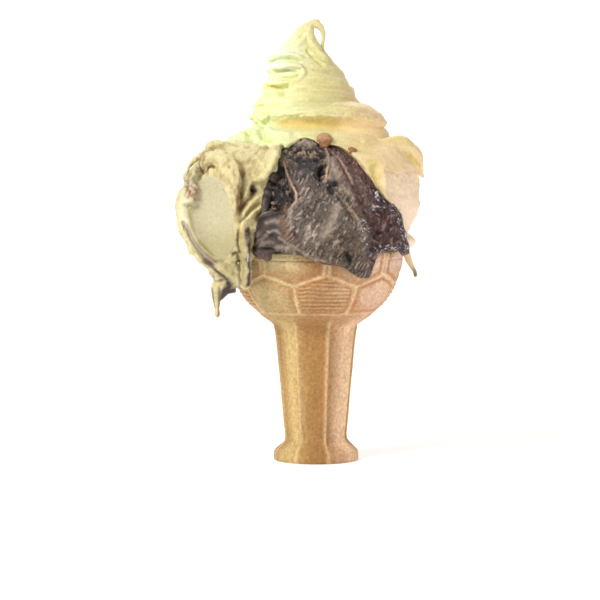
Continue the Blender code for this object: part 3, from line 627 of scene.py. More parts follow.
# red, green, blue, strength, width and path; the light grey marks along ridges and on the smooth planes
# are painted highlights and sheen, the near-black ones in the grooves and holes painted shade
chocolateMarks = (
    (112, 92, 82, 0.6, 2, 9.6, 121, 14.4, 115, 18.6, 107.6, 21.6, 101),
    (92, 52, 48, 0.85, 1, *chocolate["crest"][:12]),
    (158, 140, 122, 0.75, 0.45, 6.8, 123.6, 9.2, 119.4, 12.4, 114.2, 14.4, 110.4),
    (150, 132, 116, 0.85, 1.5, 5.8, 119.6, 6.6, 116.6, 8.6, 113.8),
    (150, 130, 112, 0.8, 1.1, 10.6, 109.4, 12.6, 106.4),
    (152, 130, 108, 0.75, 0.5, 11.2, 103.6, 14, 100, 17.1, 95.3),
    (156, 142, 126, 0.7, 1.6, 8.9, 101.4, 7.6, 97.4, 5.6, 93, 3.2, 89.6),
    (36, 38, 42, 1, 2.2, -6.4, 117.2, -3, 117.4, 0, 116.8),
    (146, 130, 118, 0.8, 1.4, -8.4, 127, -5.6, 127.6, -2.4, 126.6),
    (150, 130, 114, 0.85, 1.2, -15, 123.6, -13.6, 122, -12.6, 119.6),
    (160, 132, 112, 0.7, 0.5, *chocolate["streak"][:10]),
    (196, 164, 136, 0.8, 0.42, *chocolate["streak"][6:]),
    (128, 96, 76, 0.75, 1.6, -13.2, 102.4, -13.8, 98.4, -13, 95.1, -12, 91.6, -10.5, 88.8),
    (156, 142, 126, 0.75, 1, -10.2, 100.6, -10.6, 96, -10, 92.4),
    (34, 30, 34, 0.95, 1, -25.2, 94.2, -21.6, 96, -17.6, 97.4, -13.6, 98.6),
    (150, 138, 124, 0.8, 0.4, -23.4, 96.6, -20.8, 98.4, -18.8, 99.6),
    (142, 128, 114, 0.75, 0.9, -19.8, 94.6, -17.4, 95.6, -15.2, 95),
    (74, 60, 58, 0.8, 1.6, -23.4, 92.6, -19.8, 92.4, -16, 92.4),
    (150, 140, 128, 0.7, 0.5, -18.6, 91.2, -16.4, 91.8, -14.4, 90.6),
    (150, 136, 122, 0.7, 0.5, -24, 86.4, -21.8, 88.2, -19.6, 89.6),
    (132, 116, 102, 0.6, 0.9, -23.4, 86, -20, 86.6, -17, 87.2),
    (144, 128, 112, 0.75, 1, -15.8, 84.8, -12.6, 85, -9.8, 84.2),
    (150, 128, 110, 0.7, 0.5, -14.8, 89, -12.6, 87.6, -9, 85.4, -5.4, 83.2, -1, 81, 4, 79.4),
    (26, 22, 24, 0.9, 0.7, -16.8, 90.4, -15.6, 89.2),
    (30, 24, 28, 0.85, 0.7, -9, 91, -8, 89.4),
    (30, 24, 24, 0.9, 0.5, -22.4, 84.4, -19, 84.4, -16.4, 84),
    (78, 50, 46, 0.8, 1.1, -23.6, 82.6, -20.6, 81.8, -18.4, 82),
    (14, 11, 12, 0.95, 1.2, 12.8, 82.4, 14, 79.6),
    (14, 11, 14, 0.95, 1.1, 2.6, 117.6, 1.6, 114.8, 1.4, 113.4),
    (196, 160, 126, 0.8, 0.4, 4.6, 117.2, 4.2, 114.6, 3.8, 111.8),
    (150, 128, 112, 0.7, 0.5, 3.8, 124.8, 5, 121, 4.9, 118.4),
)


def chocolateInset(u, v):
    # millimetres inside the slab's outline in the picture, negative outside it
    first, last = chocolate["top"][0][0], chocolate["top"][-1][0]
    tall = np.minimum(curveThrough(chocolate["top"], u) - v, v - curveThrough(chocolate["bottom"], u))
    return np.minimum(tall, np.minimum(u - first, last - u))


def makeChocolate(material):
    # columns run left to right; each ring goes up the face, rounds the edge and comes down behind
    first, last = chocolate["top"][0][0], chocolate["top"][-1][0]
    edge, rows = chocolate["edge"], chocolate["frontRows"]
    spread = np.linspace(0, 1, chocolate["columns"])
    u = first + (last - first) * (0.8 * spread + 0.2 * (0.5 - 0.5 * np.cos(np.pi * spread)))
    even = (np.arange(rows) + 0.5) / rows
    front = 0.25 * (0.5 - 0.5 * np.cos(np.pi * even)) + 0.75 * even
    even = (np.arange(chocolate["backRows"]) + 0.5) / chocolate["backRows"]
    across = np.concatenate([front, 0.5 + 0.5 * np.cos(np.pi * even)])
    uu, tt = np.meshgrid(u, across, indexing="ij")
    top, bottom = curveThrough(chocolate["top"], uu), curveThrough(chocolate["bottom"], uu)
    toEnd = np.minimum(uu - first, last - uu)
    top = top + noise(flatPlace(uu, 0 * uu), 1.7, 28) * 0.5 * smoothstep(0, 4, toEnd)
    vv = bottom + (top - bottom) * tt
    reach = curveThrough(chocolate["reach"], vv)
    face = -np.sqrt(np.maximum(reach ** 2 - uu ** 2, 4))
    inset = np.minimum(np.minimum(vv - bottom, top - vv), toEnd + 0.25)
    near = np.clip(inset / edge, 0, 1)
    drop = edge * (1 - np.sqrt(1 - (1 - near) ** 2))
    behind = edge + (chocolate["depth"] - edge) * np.sqrt(np.clip(inset / 9, 0, 1))
    isBack = np.arange(len(across)) >= rows
    grid = fromPicture(uu, vv, face + np.where(isBack[None, :], behind, drop))
    slab = writeMesh("chocolateSlab", *closedGrid(grid[::-1]))
    points, normals = readSkin(slab)
    u, v = toPicture(points)
    facing = smoothstep(0, 0.35, -normals[:, 1])
    warp = np.stack([noise(points, 3, seed) for seed in (20, 21, 22)], -1)
    # which part of the face each place is on
    pit = smoothstep(-0.4, 1.4, insideOutline(u, v, chocolate["pit"]) + 0.4 * warp[:, 0])
    crumb = smoothstep(-0.6, 0.8, insideOutline(u, v, chocolate["crumbs"]) + 0.9 * warp[:, 1])
    lowCrumb = insideOutline(u, v, chocolate["lowerCrumbs"]) + 0.7 * warp[:, 2]
    crumb = np.maximum(crumb, smoothstep(-0.6, 0.8, lowCrumb)) * (1 - pit)
    right = smoothstep(-0.6, 0.8, -nearStroke(u, v, chocolate["crest"])[1])
    calm = np.maximum.reduce([beside(u, v, width, path) for width, *path in chocolate["calm"]])
    leftLow = smoothstep(99, 96, v + 0.6 * warp[:, 0])
    leftLow = leftLow * smoothstep(-12.4, -14.4, u + 0.6 * warp[:, 1])
    scraped = (1 - pit) * (1 - right) * (1 - crumb) * (1 - 0.85 * calm) * (1 - 0.92 * leftLow)
    # strokes of the scraper fan out from the middle of the face
    arc = np.arctan2(points[:, 0], -points[:, 1]) * chocolate["noiseRadius"]
    bend = 0.022 * arc ** 2 * np.sign(arc)
    flat = flatPlace(arc, points[:, 2] - chocolate["middle"] - bend) + warp * 0.9
    lean = np.radians(chocolate["lean"])
    torn = flatPlace(
        flat[:, 0] * np.cos(lean) + flat[:, 1] * np.sin(lean),
        flat[:, 1] * np.cos(lean) - flat[:, 0] * np.sin(lean))
    chipped = layeredNoise(points, 1.5, 2, 34)
    coarse = noise(torn, (2, 0.9, 9), 23) + 0.25 * chipped
    small = noise(torn, (1.1, 0.55, 9), 24) - 0.25 * chipped
    patchy = smoothstep(-0.7, 0.4, layeredNoise(points, 4, 2, 30))
    worms = 0.8 * coarse + 0.6 * small
    crease = np.maximum(bell(coarse, 0.24), 0.8 * bell(small, 0.24)) * (0.45 + 0.55 * patchy)
    drawn = flatPlace(flat[:, 0] * 0.6 - flat[:, 1] * 0.8, flat[:, 0] * 0.8 + flat[:, 1] * 0.6)
    lines = 0.7 * noise(drawn, (3.4, 1, 9), 27) + 0.8 * noise(drawn, (1.3, 0.55, 9), 29)
    crumbs = layeredNoise(points + warp * 0.4, 1.5, 3, 25)
    splinters = noise(points + warp * 0.3, (0.75, 0.75, 1), 33)
    hollow = bell(np.hypot((u + 0.5) / 9, (v - 102) / 12), 1)
    relief = strokeRelief(u, v, chocolateRidges)
    relief += 0.8 * layeredNoise(points, 9, 2, 22) - 1.6 * hollow
    relief += scraped * (0.4 * worms - 0.45 * crease) + right * 0.42 * lines
    relief += leftLow * 0.5 * layeredNoise(points, 2.6, 2, 35)
    relief += np.maximum(pit, crumb) * (0.8 * crumbs + 0.25 * splinters) - 3.2 * pit - 0.6 * crumb
    points = points + normals * (relief * facing)[:, None]
    moveSkin(slab, clearOfCup(points))
    lower = smoothstep(97, 86, v - 0.5 * u + 5)
    ridges = smoothstep(0.05, 0.8, worms) * (1 - crease)
    colours = layered(
        evenColour(points, 100, 86, 76),
        (100, 83, 70, lower * scraped * 0.6),
        # painted shade in the scraped creases and painted sheen, light grey, on the ridges between them
        (36, 28, 26, crease * scraped * 0.9),
        (166, 153, 140, ridges * scraped * (0.9 - 0.3 * lower)))
    colours = uneven(colours, 0.16 * layeredNoise(points, 5, 2, 38) * scraped)
    light = smoothstep(0.2, 0.36, noise(drawn, (4.4, 1.3, 9), 36))
    dark = smoothstep(0.3, 0.5, noise(drawn, (2.6, 0.8, 9), 37))
    broken = np.maximum(crumb, 0.8 * pit)
    flecks = smoothstep(0.3, 0.7, noise(points, (0.9, 0.9, 0.7), 61)) * smoothstep(0, 0.5, crumbs)
    colours = layered(
        colours,
        (150, 116, 84, lower * scraped * smoothstep(0.45, 0.8, splinters) * 0.6),
        (58, 45, 41, leftLow * 0.9),
        # painted light: lit grey patches on the smooth lower left
        (142, 128, 115, leftLow * light * 0.36),
        (44, 35, 34, leftLow * dark * 0.85),
        (88, 60, 57, right * 0.9),
        (66, 36, 38, right * smoothstep(16, 26, u) * 0.6),
        # painted shade in the right plane's grooves and painted highlight on its ridges
        (38, 25, 27, right * smoothstep(-0.1, -0.7, lines) * 0.85),
        (146, 122, 112, right * smoothstep(0.3, 0.85, lines) * 0.75),
        # painted shade: the recessed pit near-black
        (30, 27, 30, pit * 0.97),
        (54, 45, 42, crumb * 0.9),
        # painted highlight on the splinters and the crumbs' tops, painted shade in the crumbs' dips
        (118, 106, 96, broken * smoothstep(0.2, 0.6, splinters) * 0.8),
        (14, 11, 13, broken * smoothstep(-0.1, -0.6, crumbs) * 0.9),
        (140, 122, 106, broken * smoothstep(0.25, 0.8, crumbs) * 0.8),
        (160, 116, 86, broken * flecks * 0.75))
    frayed = 0.5 * layeredNoise(points, 1.2, 2, 62)
    colours = markWith(colours, u, v, chocolateMarks, frayed, facing)
    wet = [amount * beside(u, v, width, path) for amount, width, *path in chocolate["wet"]]
    wet = np.maximum.reduce(wet)
    glint = 0.75 * noise(points, (0.9, 0.9, 0.6), 63) + 0.6 * noise(points, 0.5, 64)
    colours = layered(
        colours,
        (30, 20, 26, wet * 0.5),
        # painted highlights: white glints speckled along the wet edges
        (226, 224, 230, wet * smoothstep(0.36, 0.56, glint) * 0.9 * facing))
    glossy = np.maximum(wet, beside(u, v, 1.4, (-23.6, 82.6, -20.6, 81.8, -18.4, 82)))
    paint(slab, colours, 0.56 - 0.36 * glossy + 0.1 * pit)
    finishPiece(slab, "chocolate", material)
    bits = meltTogether("toffeeBits", strands(chocolate["toffee"]), 0.3, 3)
    points, normals = readSkin(bits)
    points = points + normals * (0.3 * layeredNoise(points, 2, 2, 26))[:, None]
    moveSkin(bits, points)
    # painted highlight: the toffee paler towards its top
    shade = smoothstep(126, 130.6, points[:, 2])
    paint(bits, layered(evenColour(points, 146, 100, 62), (188, 152, 114, shade * 0.8)), 0.45)
    finishPiece(bits, "chocolate", material)


def clearOfCup(points):
    # what hangs outside the bowl keeps a hair's breadth off its wall
    up, radius = points[:, 2], np.hypot(points[:, 0], points[:, 1])
    clear, low = wafer["clearRadius"], points[:, 2] < wafer["rim"] + 0.3
    wall = np.where(low, bowlRadius(np.minimum(up, wafer["bowlCentre"]), clear), 0)
    wall = np.where(low & (up > 80), np.maximum(wall, clear), wall)
    push = np.maximum(wall / np.maximum(radius, 1), 1)
    return points * np.stack([push, push, np.ones(len(points))], -1)


# Cream: a heap that fills the bowl with a ring laid on it, and a curled peak
cream = {
    "columns": 420, "rows": 206, "fillRows": 24, "grain": 0.59,
    "noiseRadius": 36, "peakNoiseRadius": 14,
    # the heap: height and radius in four directions
    "front": ((84.4, 34), (96, 34.6), (110, 34), (118, 32), (123, 30.2), (127, 28.6), (130, 26.8),
        (131.6, 25.4), (132.6, 23.6), (134.4, 22.6), (136.6, 21)),
    "right": ((84.4, 36.6), (88, 37), (92, 36.6), (95, 37.6), (100, 40), (105, 41), (111, 41.2),
        (116, 41), (120, 39.6), (123.4, 36.8), (126, 32.6), (128.6, 29.4), (131, 27.2), (133.6, 24.8),
        (136.6, 22)),
    "back": ((84.4, 35.8), (90, 37), (98, 39.4), (106, 40.8), (114, 40.8), (120, 39), (125, 35),
        (129, 30.6), (133, 25.4), (136.6, 22)),
    "left": ((84.4, 35.6), (92, 36.6), (100, 37.4), (112, 38.4), (120, 38), (124.6, 37), (127.4, 35.2),
        (129.6, 31.8), (131.4, 27.8), (133.6, 24), (136.6, 20.6)),
    # the ring's section: part of the way round, radius, height
    "ring": ((0, 8, 143.6), (0.16, 16, 142.9), (0.3, 21.8, 142.2), (0.4, 24.6, 141),
        (0.47, 25.9, 139.6), (0.52, 26, 138.8), (0.57, 26.7, 137.9), (0.61, 26.6, 137),
        (0.64, 25.4, 136.3), (0.67, 24.5, 135.7), (0.71, 24.3, 134.4), (0.75, 24.1, 133),
        (0.79, 22.4, 132), (0.86, 18, 131.2), (1, 8, 130.6)),
    # the peak's sections: height, left, right, half depth
    "peak": ((139, -22.6, 20, 20), (141.2, -24.8, 18.6, 19.6), (143.2, -24, 16.7, 18.6),
        (146, -21.6, 15.3, 17.4), (148.6, -21.2, 14.4, 16.4), (152, -19.1, 12, 14.4),
        (155, -18.7, 10.5, 13.2), (157, -18.4, 9, 12.2), (158.6, -19, 6.9, 11.4),
        (160.2, -19.8, 5.8, 10.4), (161.8, -18.2, 4.9, 9.2), (163.4, -15.8, 3, 7.6),
        (165.2, -13.9, 0.8, 6), (167, -12, -1.2, 4.6), (169, -10.2, -1.9, 3.5), (171, -8.4, -1.6, 2.8),
        (172.8, -6.6, -0.4, 2.2), (174.2, -4.2, 1.4, 1.6), (175.2, -2.2, 1.2, 1),
        (175.6, -1.2, 0.6, 0.5)),
    # the lobe at the bowl's right edge: x, y, z, radius
    "lobe": ((33.2, -17, 88.6, 1.6), (34.2, -11, 87.8, 2.4), (34.8, -3, 87.4, 2.7),
             (34.2, 5, 88, 2.4), (32.8, 13, 89, 1.6)),
    # the flap on the right, the drip, and the peak's loop and lips
    "heapStrands": (
        (60, 24, 1.25, (24, 127, -17, 1.2), (29.6, 126.4, -14, 2), (35, 125.2, -11, 2.7),
         (39.2, 121.4, -9, 2.3), (41.8, 117, -8, 1.4), (42.8, 113.6, -7.6, 0.9),
         (43, 112.2, -7.4, 0.7)),
    ),
    "drip": (
        (60, 20, 1, (36, 83.6, -9, 1.5), (37.2, 79.6, -9.4, 1.2), (38.6, 77, -9.6, 0.85),
         (39.6, 75.2, -9.6, 0.7), (39.8, 73.2, -9.6, 0.75)),
    ),
    "peakStrands": (
        (90, 20, 1, (-1.6, 174.2, -2.8, 1.3), (1, 173.8, -2.8, 1.4), (2.4, 172, -2.8, 1.05),
         (3, 169.6, -2.8, 0.8), (2.7, 166.8, -2.8, 0.72), (2.5, 164.2, -3, 0.95),
         (3.4, 161.8, -3.4, 1.4), (4.6, 158.6, -4, 1.8)),
        (80, 22, 1, (-1.8, 173.4, -3.4, 1.5), (-2.6, 170.4, -4.2, 1.8), (-1.4, 167, -5, 2.1),
         (0.4, 164.4, -6.4, 2.1), (2.6, 161, -7.6, 1.7), (4.8, 158.6, -7.4, 1.1)),
        (50, 18, 1, (-8, 161.6, -9.4, 1), (-13.6, 162, -8, 1.4), (-17.6, 161.2, -4.4, 1.5),
         (-19, 160.2, 1, 1.2)),
        (50, 18, 1, (-5.6, 157.4, -12.4, 0.9), (-12, 158, -11, 1.2), (-17.4, 156.6, -6, 1.3),
         (-18.6, 155.4, 1, 1)),
        (50, 18, 1, (-8, 151.6, -14, 1), (-14.6, 150.6, -11.6, 1.4), (-19.4, 149.6, -5.6, 1.6),
         (-20.4, 149.4, 2, 1.2)),
    ),
}
heapLaps = (
    (1.5, 1, 29.6, 99.6, 27.6, 104, 26.9, 108, 26.8, 112, 26.4, 115.2, 24.6, 117.2),
    (-0.8, 0.8, 26.2, 115.6, 29.4, 116, 33.6, 115, 37.6, 113.6),
)
heapRidges = (
    (-1.1, 1.8, 23.4, 119, 24.6, 112, 26, 106),
    (-1.1, 0.8, 36.6, 122.6, 39.8, 119, 43, 115.4),
    (1.9, 1.5, -31, 132.2, -28.6, 129.6, -29.4, 126),
    (1.7, 1.3, -25, 132.2, -23.8, 128.8, -24.8, 125.6),
    (-1.7, 0.9, -27.2, 132, -26.2, 128.8, -27, 125.8),
    (-1.5, 0.8, -22.4, 131.6, -20.6, 128.8, -17.4, 127.8),
    (1.3, 1.1, -21, 133, -16, 130.6, -9, 130),
    (-1, 0.8, -16, 129, -10, 128.2, -6, 130),
    (1, 0.8, -33.6, 130.6, -32.6, 127.8, -33.6, 125.2),
    (-0.6, 0.9, 4, 130.4, 12, 129.8, 20, 127.6),
    (0.7, 1.2, 6, 131.6, 16, 129.4, 26, 127.4, 33, 124.6),
    (-0.5, 0.9, 10, 127.4, 18, 124.8, 26, 122, 32, 121),
)
ringRidges = (
    (-0.7, 0.6, -16, 141, -6, 142.4, 6, 142.4, 16, 140.6, 24, 137.6),
    (0.6, 0.9, -20, 139.6, -8, 139, 2, 139.6, 12, 139.8, 22, 136.8),
    (-0.6, 0.5, -18, 136.6, -10, 137.2, -4, 138.6, 4, 138.4, 14, 138.2),
    (-1.2, 0.7, -25.6, 138, -23.4, 136, -21.6, 133.6),
    (1.1, 0.7, -24, 138.8, -22, 136.8, -20, 134.4),
    (-1, 0.6, -22.2, 139, -19.8, 136.8, -18.4, 135.2),
)
peakRidges = (
    (1, 0.8, -1.6, 174.4, -3.8, 170.4, -5.4, 167.4, -7.8, 165.6, -12, 164.2, -15.6, 163.8),
    (-1, 0.8, -4.6, 170.6, -7.6, 167.8, -12.6, 165.8),
    (1, 0.9, -2.6, 170, -1.4, 166.6, 1.6, 163.2, 4.6, 159.6),
    (-1.1, 0.7, -4, 165, -1.6, 161.6, 1.8, 158.8, 3.6, 157.4),
    (1.1, 0.8, -19.4, 160.4, -15.2, 162.2, -9.6, 161.8, -4.4, 160.4),
    (-1.4, 0.7, -19.6, 158.6, -14.6, 160.4, -8.8, 160.2, -5.4, 158.8),
    (1.3, 0.8, -18.4, 156.6, -11.4, 158.1, -6.1, 157.2, -4.6, 154.6, -7.5, 151.8, -14.2, 150.9,
     -19, 150.2),
    (-1.3, 0.7, -18.6, 154.4, -13, 155.9, -8.2, 155.4, -7, 154.2, -9.6, 153.2, -16, 152.8),
    (-1.9, 0.8, -20.6, 149, -17.6, 149.2, -14, 149, -10.6, 149.8),
    (1.2, 0.9, -21, 147.2, -16.6, 147.6, -12.6, 147.7),
    (-1.4, 0.7, -21.4, 145.4, -17, 145.6, -12, 146.4),
    (0.9, 0.9, -23.6, 143.6, -16, 143.8, -8, 144.2, 0, 144.2),
    (-0.5, 0.7, -10, 147.4, -2, 148.6, 6, 149, 12, 147.6),
    (0.4, 0.9, -6, 151.6, 0, 153, 6, 152.6, 11, 150.6),
    (-0.4, 0.7, -2, 156, 3, 156.4, 7, 154.6),
)
# painted light and shade: the paler warm patch under the ring's right is painted light; the deep yellow
# and greenish marks along the creases of the heap, ring and peak and in the valley beside the chocolate
# are painted shade
creamMarks = (
    (255, 226, 170, 0.6, 2.2, 12, 133.4, 19, 132.8, 25.6, 132),
    (236, 206, 84, 0.7, 0.7, -20.6, 149, -17.8, 149.3, -15.4, 148.8),
    (206, 222, 120, 0.45, 0.6, -19.6, 158.6, -14.6, 160.4, -9, 160.2),
    (206, 222, 120, 0.45, 0.6, -18.6, 154.4, -13, 155.9, -8.2, 155.4),
    (212, 228, 132, 0.4, 0.6, -16, 152.8, -9.6, 153.2),
    (204, 220, 110, 0.45, 0.6, -4, 165, -1.6, 161.6, 1.8, 158.8),
    (212, 226, 130, 0.22, 0.8, -4.6, 170.6, -7.6, 167.8, -12.6, 165.8),
    (222, 206, 90, 0.6, 0.7, 36.6, 122.6, 39.8, 119, 42.6, 115.8),
    (206, 214, 110, 0.55, 0.7, -27.2, 132, -26.2, 128.8, -27, 125.8),
    (206, 214, 110, 0.5, 0.7, -22.4, 131.6, -20.6, 128.8, -17.4, 127.8),
    (206, 214, 116, 0.5, 0.6, -25.6, 138, -23.4, 136, -21.6, 133.6),
    (206, 214, 116, 0.45, 0.5, -22.2, 139, -19.8, 136.8, -18.4, 135.2),
    (204, 190, 108, 0.7, 2.2, 22.6, 119, 23.8, 113, 25.2, 107, 27.4, 102.6),
)


def makeCreamHeap(material):
    # radius by height in four directions, shared by the squares of the azimuth's sine and cosine
    well = wafer["bowlRadius"] - wafer["wall"] - 0.35
    fillHeight = np.linspace(54.9, 84.2, cream["fillRows"])
    fillRadius = np.minimum(bowlRadius(fillHeight, well), well)
    fillRadius[0] -= 3
    height = np.linspace(84.5, 136.4, cream["rows"])
    azimuth = np.radians(np.linspace(-180, 180, cream["columns"], endpoint=False))
    zz, angle = np.meshgrid(height, azimuth, indexing="ij")
    shares = {"front": np.cos(angle), "right": np.sin(angle), "back": -np.cos(angle),
              "left": -np.sin(angle)}
    radius = sum(
        np.maximum(share, 0) ** 2 * curveThrough(cream[name], zz) for name, share in shares.items())
    shell = np.stack([radius * np.sin(angle), -radius * np.cos(angle), zz], -1)
    hug = smoothstep(-0.1, 1.2, chocolateInset(*toPicture(shell))) * (shell[..., 1] < 0)
    under = curveThrough(chocolate["reach"], zz) - 6      # the slab lies on the cream
    radius = radius + (np.minimum(radius, under) - radius) * hug
    radius = np.concatenate([np.repeat(fillRadius[:, None], len(azimuth), 1), radius])
    zz = np.repeat(np.concatenate([fillHeight, height])[:, None], len(azimuth), 1)
    angle = np.repeat(azimuth[None], len(zz), 0)
    heap = closedGrid(np.stack([radius * np.sin(angle), -radius * np.cos(angle), zz], -1))
    lobe = sweep(cream["lobe"], 50, 24, 1.7, (0, 0, 1))
    parts = [heap, creamRing(), *strands(cream["heapStrands"]), lobe]
    mass = meltTogether("creamHeap", parts, cream["grain"], 4)
    points, normals = readSkin(mass)
    u, v = toPicture(points)
    facing = smoothstep(0, 0.4, -normals[:, 1])
    turn = np.degrees(np.arctan2(points[:, 0], -points[:, 1]))
    up, radius = points[:, 2], np.hypot(points[:, 0], points[:, 1])
    onRing = smoothstep(135, 136.6, up)
    spreadOut = flatPlace(np.radians(turn) * cream["noiseRadius"], up + 0.06 * turn)
    folds = layeredNoise(spreadOut, (26, 4.6, 5), 2, 31)
    fine = noise(spreadOut, (7, 1.1, 3), 33)
    torn, frayed = layeredNoise(points, 1.5, 3, 35), 1.6 * layeredNoise(points, 4, 2, 38)
    rough = smoothstep(26, 29.4, u + frayed) * smoothstep(118.4, 114, v + frayed)
    rough = rough * smoothstep(97, 102, v + 0.4 * (u - 28) + frayed) * facing
    crumple = smoothstep(-12, -24, points[:, 0]) * smoothstep(123, 128, up) * (1 - onRing)
    broad = 0.45 * folds + 0.16 * fine + 0.7 * layeredNoise(points, 17, 2, 34)
    relief = (1 - onRing) * broad + 0.26 * torn * rough
    relief += 1.7 * crumple * layeredNoise(points, (3.8, 3.8, 4.4), 2, 36)
    relief += 0.12 * layeredNoise(points, 1.9, 2, 39)
    relief += onRing * (0.22 * noise(spreadOut, (8, 0.95, 3), 40) + 0.12 * torn)
    lip = bell(up - 136.4, 1.5) * smoothstep(21, 24, radius)
    relief += 0.75 * lip * layeredNoise(spreadOut, (2.6, 1.6, 2), 2, 41)
    unseen = smoothstep(50, 80, np.abs(turn)) * (1 - onRing)
    swept = np.stack([points[:, 0], points[:, 1], up + 0.25 * radius], -1)
    swirls = 0.9 * layeredNoise(swept, (24, 24, 6.5), 2, 47) + 0.35 * noise(swept, (9, 9, 1.6), 48)
    relief = smoothstep(85, 90, up) * (relief + unseen * swirls)
    relief += facing * (strokeRelief(u, v, heapRidges, heapLaps) + strokeRelief(u, v, ringRidges))
    points = points + normals * relief[:, None]
    moveSkin(mass, points)
    up, radius = points[:, 2], np.hypot(points[:, 0], points[:, 1])
    # painted shadow: a deep ochre band under the ring's lip
    lipShadow = bell((up - 134.2) / 2, 1) * smoothstep(25.6, 24.8, radius)
    lipShadow = lipShadow * smoothstep(-19, -12, u) * smoothstep(22, 8, u)
    colours = layered(
        creamColour(points, folds),
        (206, 176, 92, lipShadow * 0.85),
        (236, 214, 186, rough * 0.8))
    colours = uneven(colours, 0.05 * torn * rough)
    # painted shade: greenish patches over the crumpled left shoulder
    greenShadePatches = smoothstep(0, -0.8, layeredNoise(points, 3.4, 2, 37))
    colours = layered(
        colours,
        # painted warm light: lighter and rosier low on the right
        (240, 218, 194, smoothstep(26, 34, u) * smoothstep(112, 98, v) * 0.8),
        (214, 224, 130, crumple * facing * greenShadePatches * 0.5))
    paint(mass, markWith(colours, u, v, creamMarks, 0.4 * fine, facing), 0.46)
    finishPiece(mass, "cream", material)
    drip = writeMesh("creamDrip", *strands(cream["drip"])[0])
    points = readSkin(drip)[0]
    away = smoothstep(79, 75, points[:, 2])
    paint(drip, layered(creamColour(points, 0 * away), (120, 94, 68, away * 0.8)), 0.4)
    finishPiece(drip, "cream", material)


def creamColour(points, folds):
    # pale custard, deeper yellow down in the folds as painted shade; painted light makes it paler and
    # greener on the left where the key falls, palest high on the left, warmer to the right under the
    # rosy fill and a little darker low on the left
    u, up = toPicture(points)[0], points[:, 2]
    left = layered(evenColour(points, 230, 236, 186), (232, 240, 216, smoothstep(148, 158, up)))
    colours = evenColour(points, 207, 200, 146)
    colours = blend(colours, left, smoothstep(2, -20, u) * 0.9)
    colours = layered(colours, (226, 202, 158, smoothstep(2, 24, u)))
    colours = uneven(colours, -0.12 * smoothstep(140, 130, up) * smoothstep(0, -20, u))
    return layered(colours, (204, 188, 112, smoothstep(0.1, -0.9, folds) * 0.4))


def creamRing():
    # a fat lip carried round the axis: out over the top, down the lip and back underneath
    angle = np.radians(np.linspace(-180, 180, 400, endpoint=False))[None]
    around = np.linspace(0.02, 0.98, 100)[:, None]
    radius = curveThrough(cream["ring"], around, 1)
    height = curveThrough(cream["ring"], around, 2)
    low = smoothstep(0.5, 0.64, around) * smoothstep(10, 20, radius)
    outer = smoothstep(16, 26, radius)
    toRight, toLeft = np.maximum(np.sin(angle), 0) ** 2, np.maximum(-np.sin(angle), 0) ** 2
    height = height - outer * (2.4 * toRight + 0.3 * toLeft) - low * (0.9 * toRight + 1.3 * toLeft)
    across, level = angle * 25 + 0 * around, 0 * angle + 0 * around
    spot = np.stack([across, level, around * 30 + level], -1)
    ragged = layeredNoise(flatPlace(across, level), 3.6, 3, 43)
    edge = bell(around - 0.61, 0.05)
    crumple = bell((angle + np.pi / 2) / 0.42, 1)
    height = height + 0.8 * edge * ragged + 0.8 * crumple * outer * noise(spot, (4, 1, 3), 45)
    radius = radius + edge * 0.5 * ragged + outer * 0.3 * layeredNoise(spot, (14, 1, 3), 2, 44)
    radius = radius + crumple * outer * 1.3 * noise(spot, (3.6, 1, 3), 46)
    radius = radius + 1.9 * toRight * bell(around - 0.73, 0.07)
    x = radius * np.sin(angle) + 0.7 * outer
    return closedGrid(np.stack([x, -radius * np.cos(angle) * 0.96, height], -1)[::-1])


def makeCreamPeak(material):
    # level ovals up a leaning cone to its thin tip, with the loop's strand and lips melted on
    angle = np.radians(np.linspace(-180, 180, 160, endpoint=False))
    zz, angle = np.meshgrid(np.linspace(139, 175.6, 150), angle, indexing="ij")
    left, right, deep = (curveThrough(cream["peak"], zz, k) for k in (1, 2, 3))
    lean = -2.6 * smoothstep(158, 170, zz)
    x = 0.5 * (left + right) + 0.5 * (right - left) * np.sin(angle)
    cone = closedGrid(np.stack([x, lean - deep * np.cos(angle), zz], -1))
    peak = meltTogether("creamPeak", [cone, *strands(cream["peakStrands"])], 0.3, 4)
    points, normals = readSkin(peak)
    u, v = toPicture(points)
    facing = smoothstep(0, 0.4, -normals[:, 1])
    turn = np.degrees(np.arctan2(points[:, 0] + 3, -points[:, 1]))
    spreadOut = flatPlace(np.radians(turn) * cream["peakNoiseRadius"], points[:, 2] + 0.03 * turn)
    folds = layeredNoise(spreadOut, (14, 2.8, 4), 2, 51)
    fine = noise(spreadOut, (5, 0.8, 2), 52)
    thick = smoothstep(170, 160, points[:, 2])
    fringe = smoothstep(-10, -18, u) * layeredNoise(points, (3, 3, 1.6), 2, 53)
    relief = thick * (0.4 * folds + 0.2 * fine + 0.6 * fringe)
    relief = relief + facing * strokeRelief(u, v, peakRidges) * (0.35 + 0.65 * thick)
    points = points + normals * relief[:, None]
    moveSkin(peak, points)
    colours = markWith(creamColour(points, folds), u, v, creamMarks, 0.5 * fine, facing)
    paint(peak, colours, 0.46)
    finishPiece(peak, "cream", material)


